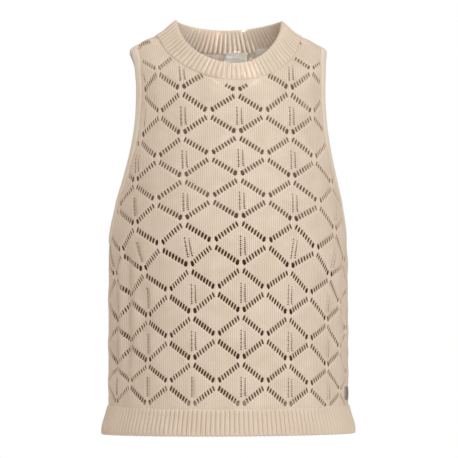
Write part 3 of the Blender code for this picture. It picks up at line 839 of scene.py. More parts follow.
@dataclass(frozen=True)
class Lattice:
    """The diamond pattern: ladders of openings along every diamond's sides."""

    low_half_column: float = 30.0 * MM
    high_half_column: float = 34.5 * MM
    column_change_z: tuple[float, float] = (-318.0 * MM, -232.0 * MM)
    low_half_row: float = 28.5 * MM
    high_half_row: float = 26.0 * MM
    lowest_nodes_z: float = -457.8 * MM
    row_change: float = 8.0
    strip: float = 0.054
    slits: int = 8
    first_slit: float = 0.117
    slit_pitch: float = 0.1050
    last_slit: float = 0.868
    slit_lean: float = 0.20
    slit_width: float = 1.0  # how far the openings are drawn open
    post: float = 0.085  # reach of a node, over which the four ladders that meet there stand apart
    post_lift: float = 1.94 * MM
    # How the rows hang lower towards the sides: height in millimetres, then shares of the greatest sag on
    # the wearer's right and left.
    sag_rows: tuple[tuple[float, float, float], ...] = (
        (-465.0, -0.05, 0.35),
        (-425.0, 0.2, 0.7),
        (-395.0, 0.75, 0.9),
        (-340.0, 1.0, 1.0),
        (-253.0, 0.9, 1.05),
        (-199.0, 0.75, 0.62),
        (-147.0, 0.65, 0.35),
        (-122.0, 0.5, 0.15),
        (-98.0, 0.0, -0.1),
        (-72.0, 0.0, -0.2),
        (-50.0, -0.3, -0.4),
        (-22.0, 0.8, 0.2),
        (-8.0, -0.3, -0.4),
    )
    # Height, then how far the third and the fourth column lie further out than in an even lattice on the
    # wearer's right, then on the left, all in millimetres.
    stretch_rows: tuple[tuple[float, float, float, float, float], ...] = (
        (-245.0, 0.0, 0.0, 1.8, 2.0),
        (-200.0, 3.5, 4.0, 8.0, 9.0),
        (-150.0, -0.3, 2.0, 4.4, 5.0),
        (-125.0, -3.0, -9.0, 4.0, 2.0),
        (-100.0, -5.8, -15.0, 3.5, -3.0),
        (-75.0, -5.3, -17.0, 1.8, -5.0),
        (-50.0, -4.8, -15.0, 0.1, -5.0),
        (-20.0, -4.5, -13.0, 0.1, -5.0),
    )
    # Where the third column's shift begins, and where the third and the fourth column lie, in millimetres.
    stretch_at: tuple[float, float, float] = (72.0, 103.5, 138.0)
    lean_z: float = -22.0 * MM  # the cloth leans back above this height
    lean_room: float = 13.0 * MM  # height that the rows of the leaning cloth are brought into
    lean_kept: float = 0.18  # share of their height that they keep beyond it
    neck_pull: float = 3.0 * MM  # lift of the highest nodes on each side of the neck
    neck_pull_at: tuple[float, float] = (57.0 * MM, 24.0 * MM)  # where it is, and how far it reaches
    neck_pull_z: tuple[float, float] = (-105.0 * MM, -70.0 * MM)
    squeeze_z: float = -69.0 * MM
    squeeze: float = 0.3  # share of their height that the rows lose above squeeze_z at the centre
    squeeze_reach: float = 24.0 * MM
    sag_right: float = 7.0 * MM
    sag_left: float = 12.0 * MM
    sag_reach: float = 120.0 * MM

    def fractions(self) -> np.ndarray:
        """Where the mesh lines run in one diamond's side."""
        centres, halves = self.slit_centres(), [0.030] * (self.slits - 1) + [0.034]
        cuts = [c + sign * h for c, h in zip(centres, halves) for sign in (-1, 1)]
        return np.array([0.0, self.strip, *cuts, 1 - self.strip])

    def slit_centres(self) -> np.ndarray:
        """Centres of a side's openings, from the upper node to the lower."""
        centres = self.first_slit + self.slit_pitch * np.arange(self.slits)
        centres[-1] = self.last_slit
        return centres

    def half_column(self, z: np.ndarray) -> np.ndarray:
        """Width of half a column of diamonds at a height."""
        low, high = self.column_change_z
        share = ease((z - low) / (high - low))
        return self.low_half_column + (self.high_half_column - self.low_half_column) * share

    def row_height(self, r: np.ndarray) -> np.ndarray:
        """Height of a half row, counted from the lowest nodes."""
        low, high = np.minimum(r, self.row_change), np.maximum(r - self.row_change, 0)
        return self.lowest_nodes_z + self.low_half_row * low + self.high_half_row * high

    def stand_apart(self, t: np.ndarray) -> np.ndarray:
        """Lift of a ladder at a position along it: it leaves a node low and comes into the next one high."""
        t = t - np.floor(t)
        leaving, arriving = -self.post_lift * t / self.post, self.post_lift * (1 - t) / self.post
        between = self.post_lift * (2 * t - 1) / (1 - 2 * self.post)
        return np.select([t < self.post, t > 1 - self.post], [leaving, arriving], between)

    def sag(self, s: np.ndarray, z: np.ndarray) -> np.ndarray:
        """How much lower a row hangs away from the centre line."""
        rows = np.array(self.sag_rows)
        right = np.interp(z, rows[:, 0] * MM, rows[:, 1]) * self.sag_right
        left = np.interp(z, rows[:, 0] * MM, rows[:, 2]) * self.sag_left
        share = np.minimum(np.abs(s) / self.sag_reach, 1.45) ** 2
        return np.where(s < 0, right, left) * share

    def chart(self, p: np.ndarray, q: np.ndarray) -> np.ndarray:
        """Chart points of lattice points."""
        z = self.row_height(-(p + q))
        s = (p - q) * self.half_column(z)
        # Over the shoulders the cloth leans back, which brings the rows together in height.
        over, room = np.maximum(z - self.lean_z, 0.0), self.lean_room
        z = z - over + self.lean_kept * over + (1 - self.lean_kept) * room * np.tanh(over / room)
        # The worn form spreads the outer columns below the chest and draws them in above it.
        rows = np.array(self.stretch_rows)
        moved = [np.interp(z, rows[:, 0] * MM, rows[:, n]) * MM for n in range(1, 5)]
        third, fourth = (np.where(s < 0, moved[n], moved[n + 2]) for n in (0, 1))
        start, third_at, fourth_at = self.stretch_at
        near = np.clip((np.abs(s) / MM - start) / (third_at - start), 0, 1)
        beyond = np.clip((np.abs(s) / MM - third_at) / (fourth_at - third_at), 0, 1)
        s = s + np.sign(s) * (third * near * (1 - beyond) + fourth * beyond)
        z = z + self.stand_apart(p) + self.stand_apart(q)
        (pull_at, reach), (low, high) = self.neck_pull_at, self.neck_pull_z
        pull = self.neck_pull * np.exp(-(((np.abs(s) - pull_at) / reach) ** 2))
        z = z + pull * ease((z - low) / (high - low))
        z = z - self.sag(s, z)
        # Just under the neckband the knit is squeezed at the centre, which lays the highest ladders flat.
        high_up = np.maximum(z - self.squeeze_z, 0.0)
        squeezed = self.squeeze * high_up * np.exp(-((s / self.squeeze_reach) ** 2))
        return np.stack([s, z - squeezed], -1)

    def shaped(
        self, along: np.ndarray, line: np.ndarray, off: np.ndarray, even: np.ndarray, stretch: np.ndarray
    ) -> np.ndarray:
        """Moves the mesh lines that cross a ladder so that its openings get their shape.

        Args:
            along: position along the ladder, in diamond sides.
            line: number of the mesh line that crosses there.
            off: distance from the ladder's middle.
            even: whether the node below lies in an even column.
            stretch: how much wider than usual the narrow openings are drawn.

        Returns:
            The new position along the ladder.
        """
        number = np.clip((line - 2) // 2, 0, self.slits - 1)
        sign = np.where(line % 2 == 0, -1.0, 1.0)
        last = number == self.slits - 1
        drawn = np.where(last, 1.0, self.slit_width * stretch)
        middle = np.where(last, np.where(even, 0.062, 0.052), 0.031) * drawn
        edge = np.where(last, np.where(even, 0.038, 0.033), 0.023) * drawn
        width = np.where(np.abs(off) < 1e-6, middle, edge)
        opened = np.floor(along) + self.slit_centres()[number] + sign * width + self.slit_lean * off
        crossing = (line >= 2) & (line <= 2 * self.slits + 1) & (np.abs(off) < self.strip + 1e-6)
        moved = np.where(crossing, opened, along)
        above_node = (line == 2 * self.slits + 2) & (np.abs(off) < 1e-6)
        return np.where(above_node, np.floor(along) + 0.962, moved)


@dataclass
class ClothMesh:
    """A panel's flat mesh while it is knitted."""

    at: np.ndarray  # lattice coordinates of each vertex
    # The darkness of a pit's bottom is painted shade.
    pit: np.ndarray  # how dark the bottom of a pit is at each vertex, 0 where there is none
    faces: list[list[int]]

    def add_points(self, points: np.ndarray, pit: float) -> int:
        """Adds vertices and gives the number of the first."""
        start = len(self.at)
        self.at = np.concatenate([self.at, points])
        self.pit = np.concatenate([self.pit, np.full(len(points), pit)])
        return start

    def inset(self, loops: np.ndarray, rings: np.ndarray, pit: float, bottom: bool) -> None:
        """Sets a smaller ring into each loop of vertices.

        Args:
            loops: vertex numbers of each loop.
            rings: lattice coordinates of the ring set into each.
            pit: how much painted shade the ring gets.
            bottom: whether the ring is filled, which makes a pit of it.
        """
        sides = loops.shape[1]
        start = self.add_points(rings.reshape(-1, 2), pit)
        for n, outer in enumerate(loops.tolist()):
            inner = [start + sides * n + m for m in range(sides)]
            for m in range(sides):
                after = (m + 1) % sides
                self.faces.append([outer[m], outer[after], inner[after], inner[m]])
            if bottom:
                self.faces.append(inner)

    def cut_along(self, cells: np.ndarray, depth: np.ndarray) -> None:
        """Adds the parts of cells that lie inside the outline.

        Args:
            cells: vertex numbers of the cells that the outline crosses.
            depth: how far inside the outline each vertex lies.
        """
        start = len(self.at)
        added: dict[tuple[int, int], int] = {}
        extra: list[np.ndarray] = []
        for cell in cells.tolist():
            kept: list[int] = []
            for one, other in zip(cell, cell[1:] + cell[:1]):
                if depth[one] > 0:
                    kept.append(one)
                if (depth[one] > 0) == (depth[other] > 0):
                    continue
                low, high = key = (min(one, other), max(one, other))
                if key not in added:
                    t = depth[low] / (depth[low] - depth[high])
                    added[key] = start + len(extra)
                    extra.append(self.at[low] * (1 - t) + self.at[high] * t)
                kept.append(added[key])
            if len(kept) > 2:
                self.faces.append(kept)
        self.add_points(np.array(extra), 0.0)

    def drop_unused(self) -> None:
        """Keeps only the vertices that a face uses."""
        used = np.unique(np.concatenate([np.array(face) for face in self.faces]))
        place = np.full(len(self.at), -1)
        place[used] = np.arange(len(used))
        self.faces = [[int(place[v]) for v in face] for face in self.faces]
        self.at, self.pit = self.at[used], self.pit[used]


@dataclass
class LatticePanel:
    """The front or back: a lattice knit with its openings cut through."""

    shop: Workshop
    side: Side
    lattice: Lattice = field(default_factory=Lattice)
    first: int = -12
    last: int = 5
    # Margins from the cut edge within which no opening lies.
    slit_margin: float = 2.6 * MM
    dot_margin: float = 4.0 * MM
    neck_margin: float = 6.2 * MM  # added at the centre of the neckline
    neck_margin_reach: float = 22.0 * MM
    neck_margin_z: float = -80.0 * MM
    shoulder_margin: float = 1.5 * MM  # taken above shoulder_z instead
    shoulder_z: float = -30.0 * MM
    open_top_z: float = -8.0 * MM  # nothing opens above this height
    # The front's ladders are closed on each side of the centre under the neckband, and beside it up to a
    # length on the wearer's right and left.
    closed_under_neck: tuple[float, float] = (13.0 * MM, 34.0 * MM)
    closed_under_neck_z: float = -73.0 * MM
    closed_beside_neck: tuple[float, float] = (97.0 * MM, 86.0 * MM)
    closed_beside_neck_z: float = -25.0 * MM
    # Heights over the middle layer.
    half_wall: float = 1.0 * MM
    half_rung: float = 0.5 * MM
    ridge: float = 0.3 * MM
    puff: float = 0.8 * MM
    leaf_groove: float = 0.7 * MM
    pit_level: float = -0.2 * MM
    # Sizes of what is set into cells, as shares of a cell.
    pit_share: float = 0.84
    leaf_share: tuple[float, float] = (0.68, 0.22)  # a small hole high in a leaf, and how much a low one gains
    fold_width: float = 0.5  # a folded leaf's dark line
    fold_length: float = 0.97
    # How much painted shade a folded leaf's line gets.
    fold_shade: float = 0.8
    rung_radius: float = 0.64 * MM
    leaf_open: bool = True  # whether a leaf's small holes go through, or are only pits
    # Places where a ladder's openings are drawn shut to pits, as centre and half size in the chart, in
    # millimetres.
    shut_places: tuple[tuple[float, float, float, float], ...] = ()
    studio: "Studio | None" = None
    # Where the camera sees the openings of a panel in front of this one. Behind them this one is drawn shut,
    # so that no light shows through both, as in worn cloth with its layers close together.
    in_front: np.ndarray | None = None
    # How near to such a place a narrow opening and a wide one are drawn shut, as slopes from the camera.
    seen_near: tuple[float, float] = (1.35e-3, 1.6e-3)
    open_places: np.ndarray | None = None  # points of this panel's openings, once it is built

    def name(self) -> str:
        """The CAD node that the panel stands for."""
        return self.side.name.lower()

    @staticmethod
    def within(points: np.ndarray, places: tuple[tuple[float, float, float, float], ...]) -> np.ndarray:
        """Whether each chart point lies in one of the places."""
        covered = np.zeros(len(points), bool)
        for s, z, half_width, half_height in places:
            away = np.abs(points - np.array([s, z]) * MM)
            covered |= (away < np.array([half_width, half_height]) * MM).all(-1)
        return covered

    def openable(self, points: np.ndarray, outline: np.ndarray) -> np.ndarray:
        """Whether a ladder's opening may lie at each chart point."""
        s, z = np.abs(points[:, 0]), points[:, 1]
        at_neck = np.exp(-((s / self.neck_margin_reach) ** 2)) * (z > self.neck_margin_z)
        margin = np.where(z > self.shoulder_z, self.shoulder_margin, self.slit_margin + self.neck_margin * at_neck)
        closed = z > self.open_top_z
        if self.side is Side.FRONT:
            near, far = self.closed_under_neck
            closed |= (s > near) & (s < far) & (z > self.closed_under_neck_z)
            right, left = self.closed_beside_neck
            closed |= (s < np.where(points[:, 0] < 0, right, left)) & (z > self.closed_beside_neck_z)
        return (self.shop.pattern.depth_inside(points, outline) > margin) & ~closed

    def height(self, p: np.ndarray, q: np.ndarray) -> np.ndarray:
        """How far the right side stands over its lowest level: rungs low, rails and diamonds raised."""
        near, far = np.sort(np.abs(np.stack([p - np.round(p), q - np.round(q)])), 0)
        rail = np.exp(-(((near - 0.085) / 0.038) ** 2))
        puffed = ease((near - 0.05) / 0.40) * ease((far - 0.02) / 0.3)
        crossing = np.exp(-((far / 0.085) ** 2))
        groove = self.leaf_groove * self.in_leaf(p, q) * (1 + 1.2 * self.creased(p, q))
        return self.ridge * np.maximum(rail, crossing) + self.puff * puffed - groove

    def in_leaf(self, p: np.ndarray, q: np.ndarray) -> np.ndarray:
        """How far a point lies between a leaf's two columns of small holes, where the cloth is drawn in."""
        part_p, part_q = p - np.floor(p), q - np.floor(q)
        across = np.exp(-(((part_p - part_q - 0.075) / 0.07) ** 2))
        down = ease(((part_p + part_q) / 2 - 0.2) / 0.2) * ease((0.9 - (part_p + part_q) / 2) / 0.12)
        return np.where((np.floor(p) - np.floor(q)) % 2 == 0, across * down, 0.0)

    def creased(self, p: np.ndarray, q: np.ndarray) -> np.ndarray:
        """Whether a leaf is folded into a crease, as they are low on the front of the wearer's right."""
        s, z = np.moveaxis(self.lattice.chart(np.floor(p) + 0.5, np.floor(q) + 0.5), -1, 0)
        far = (s < -70 * MM) | ((s < -40 * MM) & (z < -405 * MM))
        return np.where(far & (z < -210 * MM) & (self.side is Side.FRONT), 1.0, 0.0)

    def drawn_open(self, base: np.ndarray, line: np.ndarray) -> tuple[np.ndarray, np.ndarray]:
        """Lattice coordinates of the mesh's vertices, with the mesh lines moved to shape the openings.

        Args:
            base: where each mesh line runs in a lattice without openings.
            line: its number within its diamond side.

        Returns:
            The two coordinates of each vertex.
        """
        lattice = self.lattice
        p, q = np.meshgrid(base, base, indexing="ij")
        line_p, line_q = np.meshgrid(line, line, indexing="ij")
        below_p = (np.floor(p) + 1 - np.round(q)) % 2 == 0
        below_q = (np.round(p) - np.floor(q) - 1) % 2 == 0
        # The ladders that run down to the wearer's left are drawn wider, most of all low on the right.
        s, z = np.moveaxis(lattice.chart(p, q), -1, 0)
        low_right = ease((20 * MM - s) / (70 * MM)) * ease((-190 * MM - z) / (90 * MM))
        shaped_q = lattice.shaped(q, line_q, p - np.round(p), below_q, 0.96 - 0.08 * low_right)
        shaped_p = lattice.shaped(p, line_p, q - np.round(q), below_p, 1.04 + 0.24 * low_right)
        return shaped_p.ravel(), shaped_q.ravel()

    def build(self) -> tuple[bpy.types.Object, bpy.types.Object]:
        """Knits the panel.

        Returns:
            The panel and its ladder rungs.
        """
        lattice, form = self.lattice, self.shop.pattern.form
        steps = lattice.fractions()
        last_line = len(steps) - 1
        base = np.append((np.arange(self.first, self.last)[:, None] + steps).ravel(), float(self.last))
        line = np.append(np.tile(np.arange(len(steps)), self.last - self.first), 0)
        count = len(base)
        p, q = self.drawn_open(base, line)
        outline = self.shop.pattern.outline(self.side)
        depth = self.shop.pattern.depth_inside(lattice.chart(p, q), outline) + self.shop.pattern.seam_gap / 2

        # The cells between the mesh lines, and which of them are halves of a ladder's slit.
        a, b = (axis.ravel() for axis in np.meshgrid(np.arange(count - 1), np.arange(count - 1), indexing="ij"))
        line_a, line_b = line[a], line[b]
        unit_a, unit_b = np.floor(base[a] + TINY), np.floor(base[b] + TINY)
        edge_a, edge_b = (line_a == 0) | (line_a == last_line), (line_b == 0) | (line_b == last_line)
        cut_a, cut_b = ((n >= 2) & (n < last_line) & (n % 2 == 0) for n in (line_a, line_b))
        number_a, number_b = (np.clip((n - 2) // 2, 0, lattice.slits - 1) for n in (line_a, line_b))
        ladder_a, ladder_b = unit_a + (line_a == last_line), unit_b + (line_b == last_line)
        centres = lattice.slit_centres()
        middle_p = np.where(edge_a & cut_b, ladder_a, unit_a + centres[number_a])
        middle_q = np.where(edge_a & cut_b, unit_b + centres[number_b], ladder_b)
        slit = (edge_a & cut_b) | (edge_b & cut_a)

        # Which slits are open, and which of those are drawn shut.
        opened, shut = np.zeros(len(a), bool), np.zeros(len(a), bool)
        spots = lattice.chart(middle_p[slit], middle_q[slit])
        opened[slit] = self.openable(spots, outline)
        narrow = np.where(edge_a, number_b, number_a)[slit] < lattice.slits - 1
        shut[slit] = self.within(spots, self.shut_places)
        if self.in_front is not None:
            seen = self.studio.seen_at(form.surface(self.side, *spots.T))
            away = np.linalg.norm(seen[:, None] - self.in_front, axis=-1).min(1)
            shut[slit] |= away < np.where(narrow, *self.seen_near)
        shut &= opened

        # Which cells lie inside the outline, and which hold a leaf's small hole or its fold.
        index = a * count + b
        corners = np.stack([index, index + 1, index + count + 1, index + count], -1)
        inside = (depth[corners] > 0).all(-1)
        crossing = (depth[corners] > 0).any(-1) & ~inside
        plain = inside & ~opened
        left_column = (line_a == line_b) & (line_a >= 6) & (line_a <= 15)
        right_column = (line_a - line_b == 3) & (line_b >= 5) & (line_b <= 13)
        leaf = plain & ((unit_a - unit_b) % 2 == 0) & ~edge_a & ~edge_b & (left_column | right_column)
        leaf &= (depth[corners] > self.dot_margin).all(-1)
        middle = lattice.chart((base[a] + base[a + 1])[leaf] / 2, (base[b] + base[b + 1])[leaf] / 2)
        may_open = self.openable(middle, outline)
        leaf[leaf] = may_open
        through = np.concatenate([spots[opened[slit] & ~shut[slit]], middle[may_open]])
        self.open_places = form.surface(self.side, *through.T)
        creased = np.zeros(len(a), bool)
        creased[leaf] = self.creased(base[a][leaf] + TINY, base[b][leaf] + TINY) > 0.5
        fold = leaf & creased & (line_a == line_b)
        leaf &= ~creased

        cloth = ClothMesh(np.stack([p, q], -1), np.zeros(len(p)), corners[plain & ~leaf & ~fold].tolist())
        # An opening that is drawn shut is a pit over the two cells of a slit, with painted shade at its bottom.
        for step, across in (
            (count, shut & edge_a & (line_a == last_line)),
            (1, shut & edge_b & (line_b == last_line)),
        ):
            one, other = index[across], index[across] + count + 1 - step
            loops = np.stack([one, other, other + step, other + 2 * step, one + 2 * step, one + step], -1)
            if step == 1:
                loops = loops[:, ::-1]
            rings = cloth.at[loops]
            centre = rings.mean(1, keepdims=True)
            cloth.inset(loops, centre + (rings - centre) * self.pit_share, 1.0, bottom=True)

        # The small holes of a leaf, each set into its own cell; where they are only pits, their bottoms get
        # painted shade.
        high, gain = self.leaf_share
        share = high + gain * ease((line_b[leaf] - 4) / 6)
        rings = cloth.at[corners[leaf]]
        centre = rings.mean(1, keepdims=True)
        rings = centre + (rings - centre) * share[:, None, None]
        cloth.inset(corners[leaf], rings, float(not self.leaf_open), bottom=not self.leaf_open)

        # A leaf that is folded shows one narrow line instead, a groove with painted shade in the crease.
        rings = cloth.at[corners[fold]]
        centre = rings.mean(1, keepdims=True)
        away = rings - centre
        down = away.mean(-1, keepdims=True)
        rings = centre + (away - down) * self.fold_width + down * self.fold_length
        cloth.inset(corners[fold], rings, self.fold_shade, bottom=True)

        cloth.cut_along(corners[crossing & ~opened], depth)
        cloth.drop_unused()
        obj = self.shell(cloth, outline)
        rungs = self.rungs(outline)
        LOG.info("%s: %d faces, %d rung faces", obj.name, len(obj.data.polygons), len(rungs.data.polygons))
        return obj, rungs

    def shade_inside(self, s: np.ndarray, z: np.ndarray) -> np.ndarray:
        """How much painted shade the wrong side gets: less at the neck and in the chest, where light comes in."""
        s, z = s / MM, z / MM
        lit = np.exp(-(((s + 48) / 34) ** 2) - (((z + 196) / 34) ** 2))
        chest = 0.28 + 0.40 * lit + 0.22 * ease((s - 25) / 40)
        return (0.12 + 0.88 * ease((-36 - z) / 20)) * (1 - chest * ease((z + 262) / 60))

    def shell(self, cloth: ClothMesh, outline: np.ndarray) -> bpy.types.Object:
        """Turns the flat mesh into a closed wall on the worn form.

        Args:
            cloth: the mesh, its faces anticlockwise.
            outline: the panel's cut edge.

        Returns:
            The panel.
        """
        form, at, pit = self.shop.pattern.form, cloth.at, cloth.pit
        chart = self.lattice.chart(*at.T)
        s, z = chart.T
        points, normals = form.surface(self.side, s, z), form.outward(self.side, s, z)
        near, far = np.sort(np.abs(at - np.round(at)), -1).T
        fade = ease(self.shop.pattern.depth_inside(chart, outline) / (6 * MM))
        inner = self.half_rung + (self.half_wall - self.half_rung) * ease((near - 0.03) / 0.12)
        outer = np.where(pit > 0, self.pit_level, inner + self.height(*at.T) * fade)
        whole = double_wall(cloth.faces, len(points))
        if self.side is Side.BACK:
            whole = [face[::-1] for face in whole]
        vertices = np.concatenate([points + normals * outer[:, None], points - normals * inner[:, None]])
        obj = new_mesh_object(self.name() + "_panel", vertices, whole, np.concatenate([chart, chart]))
        # The rails along a ladder get a painted highlight; its openings, pits and creases and the wrong side get
        # painted shade.
        rail = np.maximum(np.exp(-(((near - 0.06) / 0.02) ** 2)), np.exp(-((far / 0.06) ** 2))) * fade
        right_side_shade = np.maximum(pit, 0.3 * self.in_leaf(*at.T) ** 2 * self.creased(*at.T))
        set_attribute(obj, "rail", np.concatenate([rail, np.zeros(len(points))]))
        set_attribute(obj, "wrong_side", np.concatenate([right_side_shade, self.shade_inside(s, z)]))
        obj.data.materials.append(self.shop.knit)
        return obj

    def rungs(self, outline: np.ndarray) -> bpy.types.Object:
        """The lengths of yarn between neighbouring openings of a ladder."""
        lattice, form = self.lattice, self.shop.pattern.form
        centres = lattice.slit_centres()
        reach = lattice.strip + 0.008
        units = np.arange(self.first, self.last)
        grid = np.meshgrid(units, units, np.arange(lattice.slits - 1), indexing="ij")
        i, j, n = (axis.ravel() for axis in grid)
        # The last rung of a ladder lies a little nearer to the one before it.
        t = (centres[n] + centres[n + 1]) / 2 - np.where(n == lattice.slits - 2, 0.010, 0.0)
        down, before, after = (np.stack([i, j + part], -1) for part in (t, centres[n], centres[n + 1]))
        tilt = np.tile([reach, lattice.slit_lean * reach], (len(t), 1))
        turned = [1, 0]
        at = np.concatenate([down, down[:, turned]])
        tilt = np.concatenate([tilt, tilt[:, turned]])
        kept = np.ones(len(at), bool)
        for spots in (before, after):
            kept &= self.openable(lattice.chart(*np.concatenate([spots, spots[:, turned]]).T), outline)
        at, tilt = at[kept], tilt[kept]
        spots, one, other = (lattice.chart(*(at + tilt * turn).T) for turn in (0, -1, 1))
        out = form.outward(self.side, *spots.T)
        along_yarn = form.surface(self.side, *other.T) - form.surface(self.side, *one.T)
        length = np.linalg.norm(along_yarn, axis=-1)
        size = np.stack([np.ones_like(length), np.ones_like(length), length], -1)
        place = form.surface(self.side, *spots.T) + out * 0.15 * MM
        name = self.name() + "_ladder_rungs"
        return self.shop.lay_yarn(name, place, along_yarn, out, size, self.rung_radius, Bow=0.25 * MM)


# ---------------------------------------------------------------------------------------------------------
# Ribbed and plain bands


def loft(rows: np.ndarray, closed: bool) -> list[list[int]]:
    """Faces of a tube whose section runs down the rows.

    Args:
        rows: points by place in the section, place along the tube and xyz; the section is a closed loop.
        closed: whether the tube's ends meet. An open tube's ends get caps.

    Returns:
        The faces.
    """
    count, around = rows.shape[:2]
    faces = []
    for r in range(count):
        up = (r + 1) % count
        for c in range(around if closed else around - 1):
            right = (c + 1) % around
            faces.append([r * around + c, r * around + right, up * around + right, up * around + c])
    if not closed:
        caps = [[low, low + 1, count - 2 - low, count - 1 - low] for low in range((count - 1) // 2)]
        if count % 2:
            caps[-1] = [count // 2 - 1, count // 2, count // 2 + 1]
        for cap in caps:
            for c, turn in ((0, 1), (around - 1, -1)):
                faces.append([r * around + c for r in cap[::turn]])
    return faces


@dataclass
class RibbedBand:
    """A knitted band with ribs of two wales, right side and wrong side."""

    shop: Workshop
    rise: float = 1.5 * MM
    groove_shade: float = 0.3
    columns: int = 8  # points to a rib
    edge_rows: int = 3
    # How far the ribs stand round the edge and on the wrong side, as shares of the right side's.
    edge_lift: float = 0.7
    wrong_lift: float = 0.8

    def knit(
        self,
        name: str,
        middle: np.ndarray,
        normal: np.ndarray,
        half: np.ndarray,
        phase: np.ndarray,
        lift: np.ndarray,
        across: np.ndarray,
        along: np.ndarray,
        closed: bool,
    ) -> bpy.types.Object:
        """Makes the band round its middle layer.

        Args:
            name: the piece's name.
            middle: points of the middle layer by row and column.
            normal: unit normals there.
            half: half the wall's thickness for each row.
            phase: ribs counted for each column.
            lift: how far the ribs stand for each row.
            across: chart length up the band for each row.
            along: chart length along the band for each column.
            closed: whether the band runs all the way round.

        Returns:
            The band.
        """
        rows, columns = middle.shape[:2]
        # The section: right side from the seam to the edge, round the edge, and back down the wrong side.
        edge = unit(middle[-1] - middle[-2])
        turns = [math.pi / 2 - math.pi * (n + 1) / (self.edge_rows + 1) for n in range(self.edge_rows)]
        cap_out = np.stack([normal[-1] * math.sin(t) + edge * math.cos(t) for t in turns])
        offset = normal * half[:, None, None]
        section = np.concatenate([middle + offset, middle[-1] + cap_out * half[-1], (middle - offset)[::-1]])
        out = np.concatenate([normal, cap_out, -normal[::-1]])
        rise = np.concatenate([lift, [lift[-1] * self.edge_lift] * self.edge_rows, self.wrong_lift * lift[::-1]])
        # Wrong-side ribs stand where the right side has its grooves.
        shift = np.concatenate([np.zeros(rows + self.edge_rows), np.full(rows, 0.5)])
        chart_up = np.concatenate([across, np.full(self.edge_rows, across[-1]), across[::-1]])
        count = section.shape[0]
        chart = np.stack(np.broadcast_arrays(along[None, :], chart_up[:, None]), -1).reshape(-1, 2)
        faces = loft(section, closed)
        obj = new_mesh_object(name, section.reshape(-1, 3), faces, chart)
        set_attribute(obj, "phase", (phase[None, :] + shift[:, None]).ravel())
        set_attribute(obj, "lift", np.repeat(rise, columns))
        # A groove gets painted shade between its ribs, more on the wrong side.
        away = np.abs((phase[None, :] + shift[:, None]) % 1 - 0.5)
        groove = ease((away - 0.2) / 0.3) * np.minimum(rise / self.rise, 1.0)[:, None]
        depth = np.where(np.arange(count) < rows + self.edge_rows, self.groove_shade, 1.5 * self.groove_shade)
        set_attribute(obj, "wrong_side", (depth[:, None] * groove).ravel())
        set_attribute(obj, "out", out.reshape(-1, 3))
        assert len(obj.data.vertices) == count * columns
        return run_tree(obj, self.shop.ribs, {"Finish": self.shop.rib})


@dataclass
class Neckband(RibbedBand):
    """The ribbed band that stands up round the neck and leans in."""

    ribs: int = 84
    half_width: float = 65.0 * MM
    side_z: float = 19.5 * MM
    front: tuple[float, float, float] = (60.0 * MM, 56.5 * MM, 1.0)  # reach, drop and how it falls
    back: tuple[float, float, float] = (45.0 * MM, 9.0 * MM, 2.0)
    left_rise: float = 0.4
    turn: float = 8.0 * MM
    shoulder_tuck: float = 3.2 * MM  # how much further the band reaches under the panels at the shoulders
    half_thickness: float = 1.7 * MM
    rows: int = 13

    def angles(self) -> np.ndarray:
        """Angles round the neck, from the centre front to the wearer's left and on."""
        count = self.ribs * self.columns
        return np.arange(count) * math.tau / count

    def seam(self) -> tuple[np.ndarray, np.ndarray]:
        """The neckline all round, with the cloth's normals there."""
        pattern, angle = self.shop.pattern, self.angles()
        seam, normal = np.empty((2, len(angle), 3))
        front = np.cos(angle) >= 0
        for side, chosen, turned in ((Side.FRONT, front, angle), (Side.BACK, ~front, math.pi - angle)):
            chart = pattern.neckline(side, turned[chosen])
            seam[chosen] = pattern.form.surface(side, *chart.T)
            normal[chosen] = pattern.form.outward(side, *chart.T)
        return seam, normal

    def build(self) -> bpy.types.Object:
        """Knits the neckband."""
        angle = self.angles()
        seam, cloth = self.seam()
        onward = unit(np.cross(cloth, np.roll(seam, -1, 0) - np.roll(seam, 1, 0)))
        in_front = np.cos(angle) >= 0
        reach, drop, power = (np.where(in_front, f, b) for f, b in zip(self.front, self.back))
        # The rim stands higher on the front of the wearer's left.
        power = power + self.left_rise * ease(np.sin(angle) / 0.5) * in_front
        top_z = self.side_z - drop * np.abs(np.cos(angle)) ** power
        top = np.stack([self.half_width * np.sin(angle), -reach * np.cos(angle), top_z], -1)
        tuck = 1.2 * MM + self.shoulder_tuck * np.exp(-((np.cos(angle) / 0.09) ** 2))
        base, turned = seam - onward * tuck[:, None], seam + onward * self.turn
        u = np.linspace(0, 0.945, self.rows)[:, None, None]
        middle = (1 - u) ** 2 * base + 2 * u * (1 - u) * turned + u**2 * top
        around = np.roll(middle, -1, 1) - np.roll(middle, 1, 1)
        normal = unit(np.cross(around, np.gradient(middle, axis=0)))
        share = np.linspace(0, 1, self.rows)
        half = self.half_thickness * (0.75 + 0.25 * ease(share / 0.2))
        lift = self.rise * (0.35 + 0.65 * ease(share / 0.12)) * (1 - 0.65 * ease((share - 0.8) / 0.2))
        height = np.linalg.norm(np.diff(middle, axis=0), axis=-1).mean(1)
        across = np.concatenate([[0.0], np.cumsum(height)])
        along = length_along(middle[self.rows // 2])
        phase = np.arange(len(angle)) / self.columns
        obj = self.knit("neckband_rib", middle, normal, half, phase, lift, across, along, closed=True)
        LOG.info("neckband: %d faces", len(obj.data.polygons))
        return obj


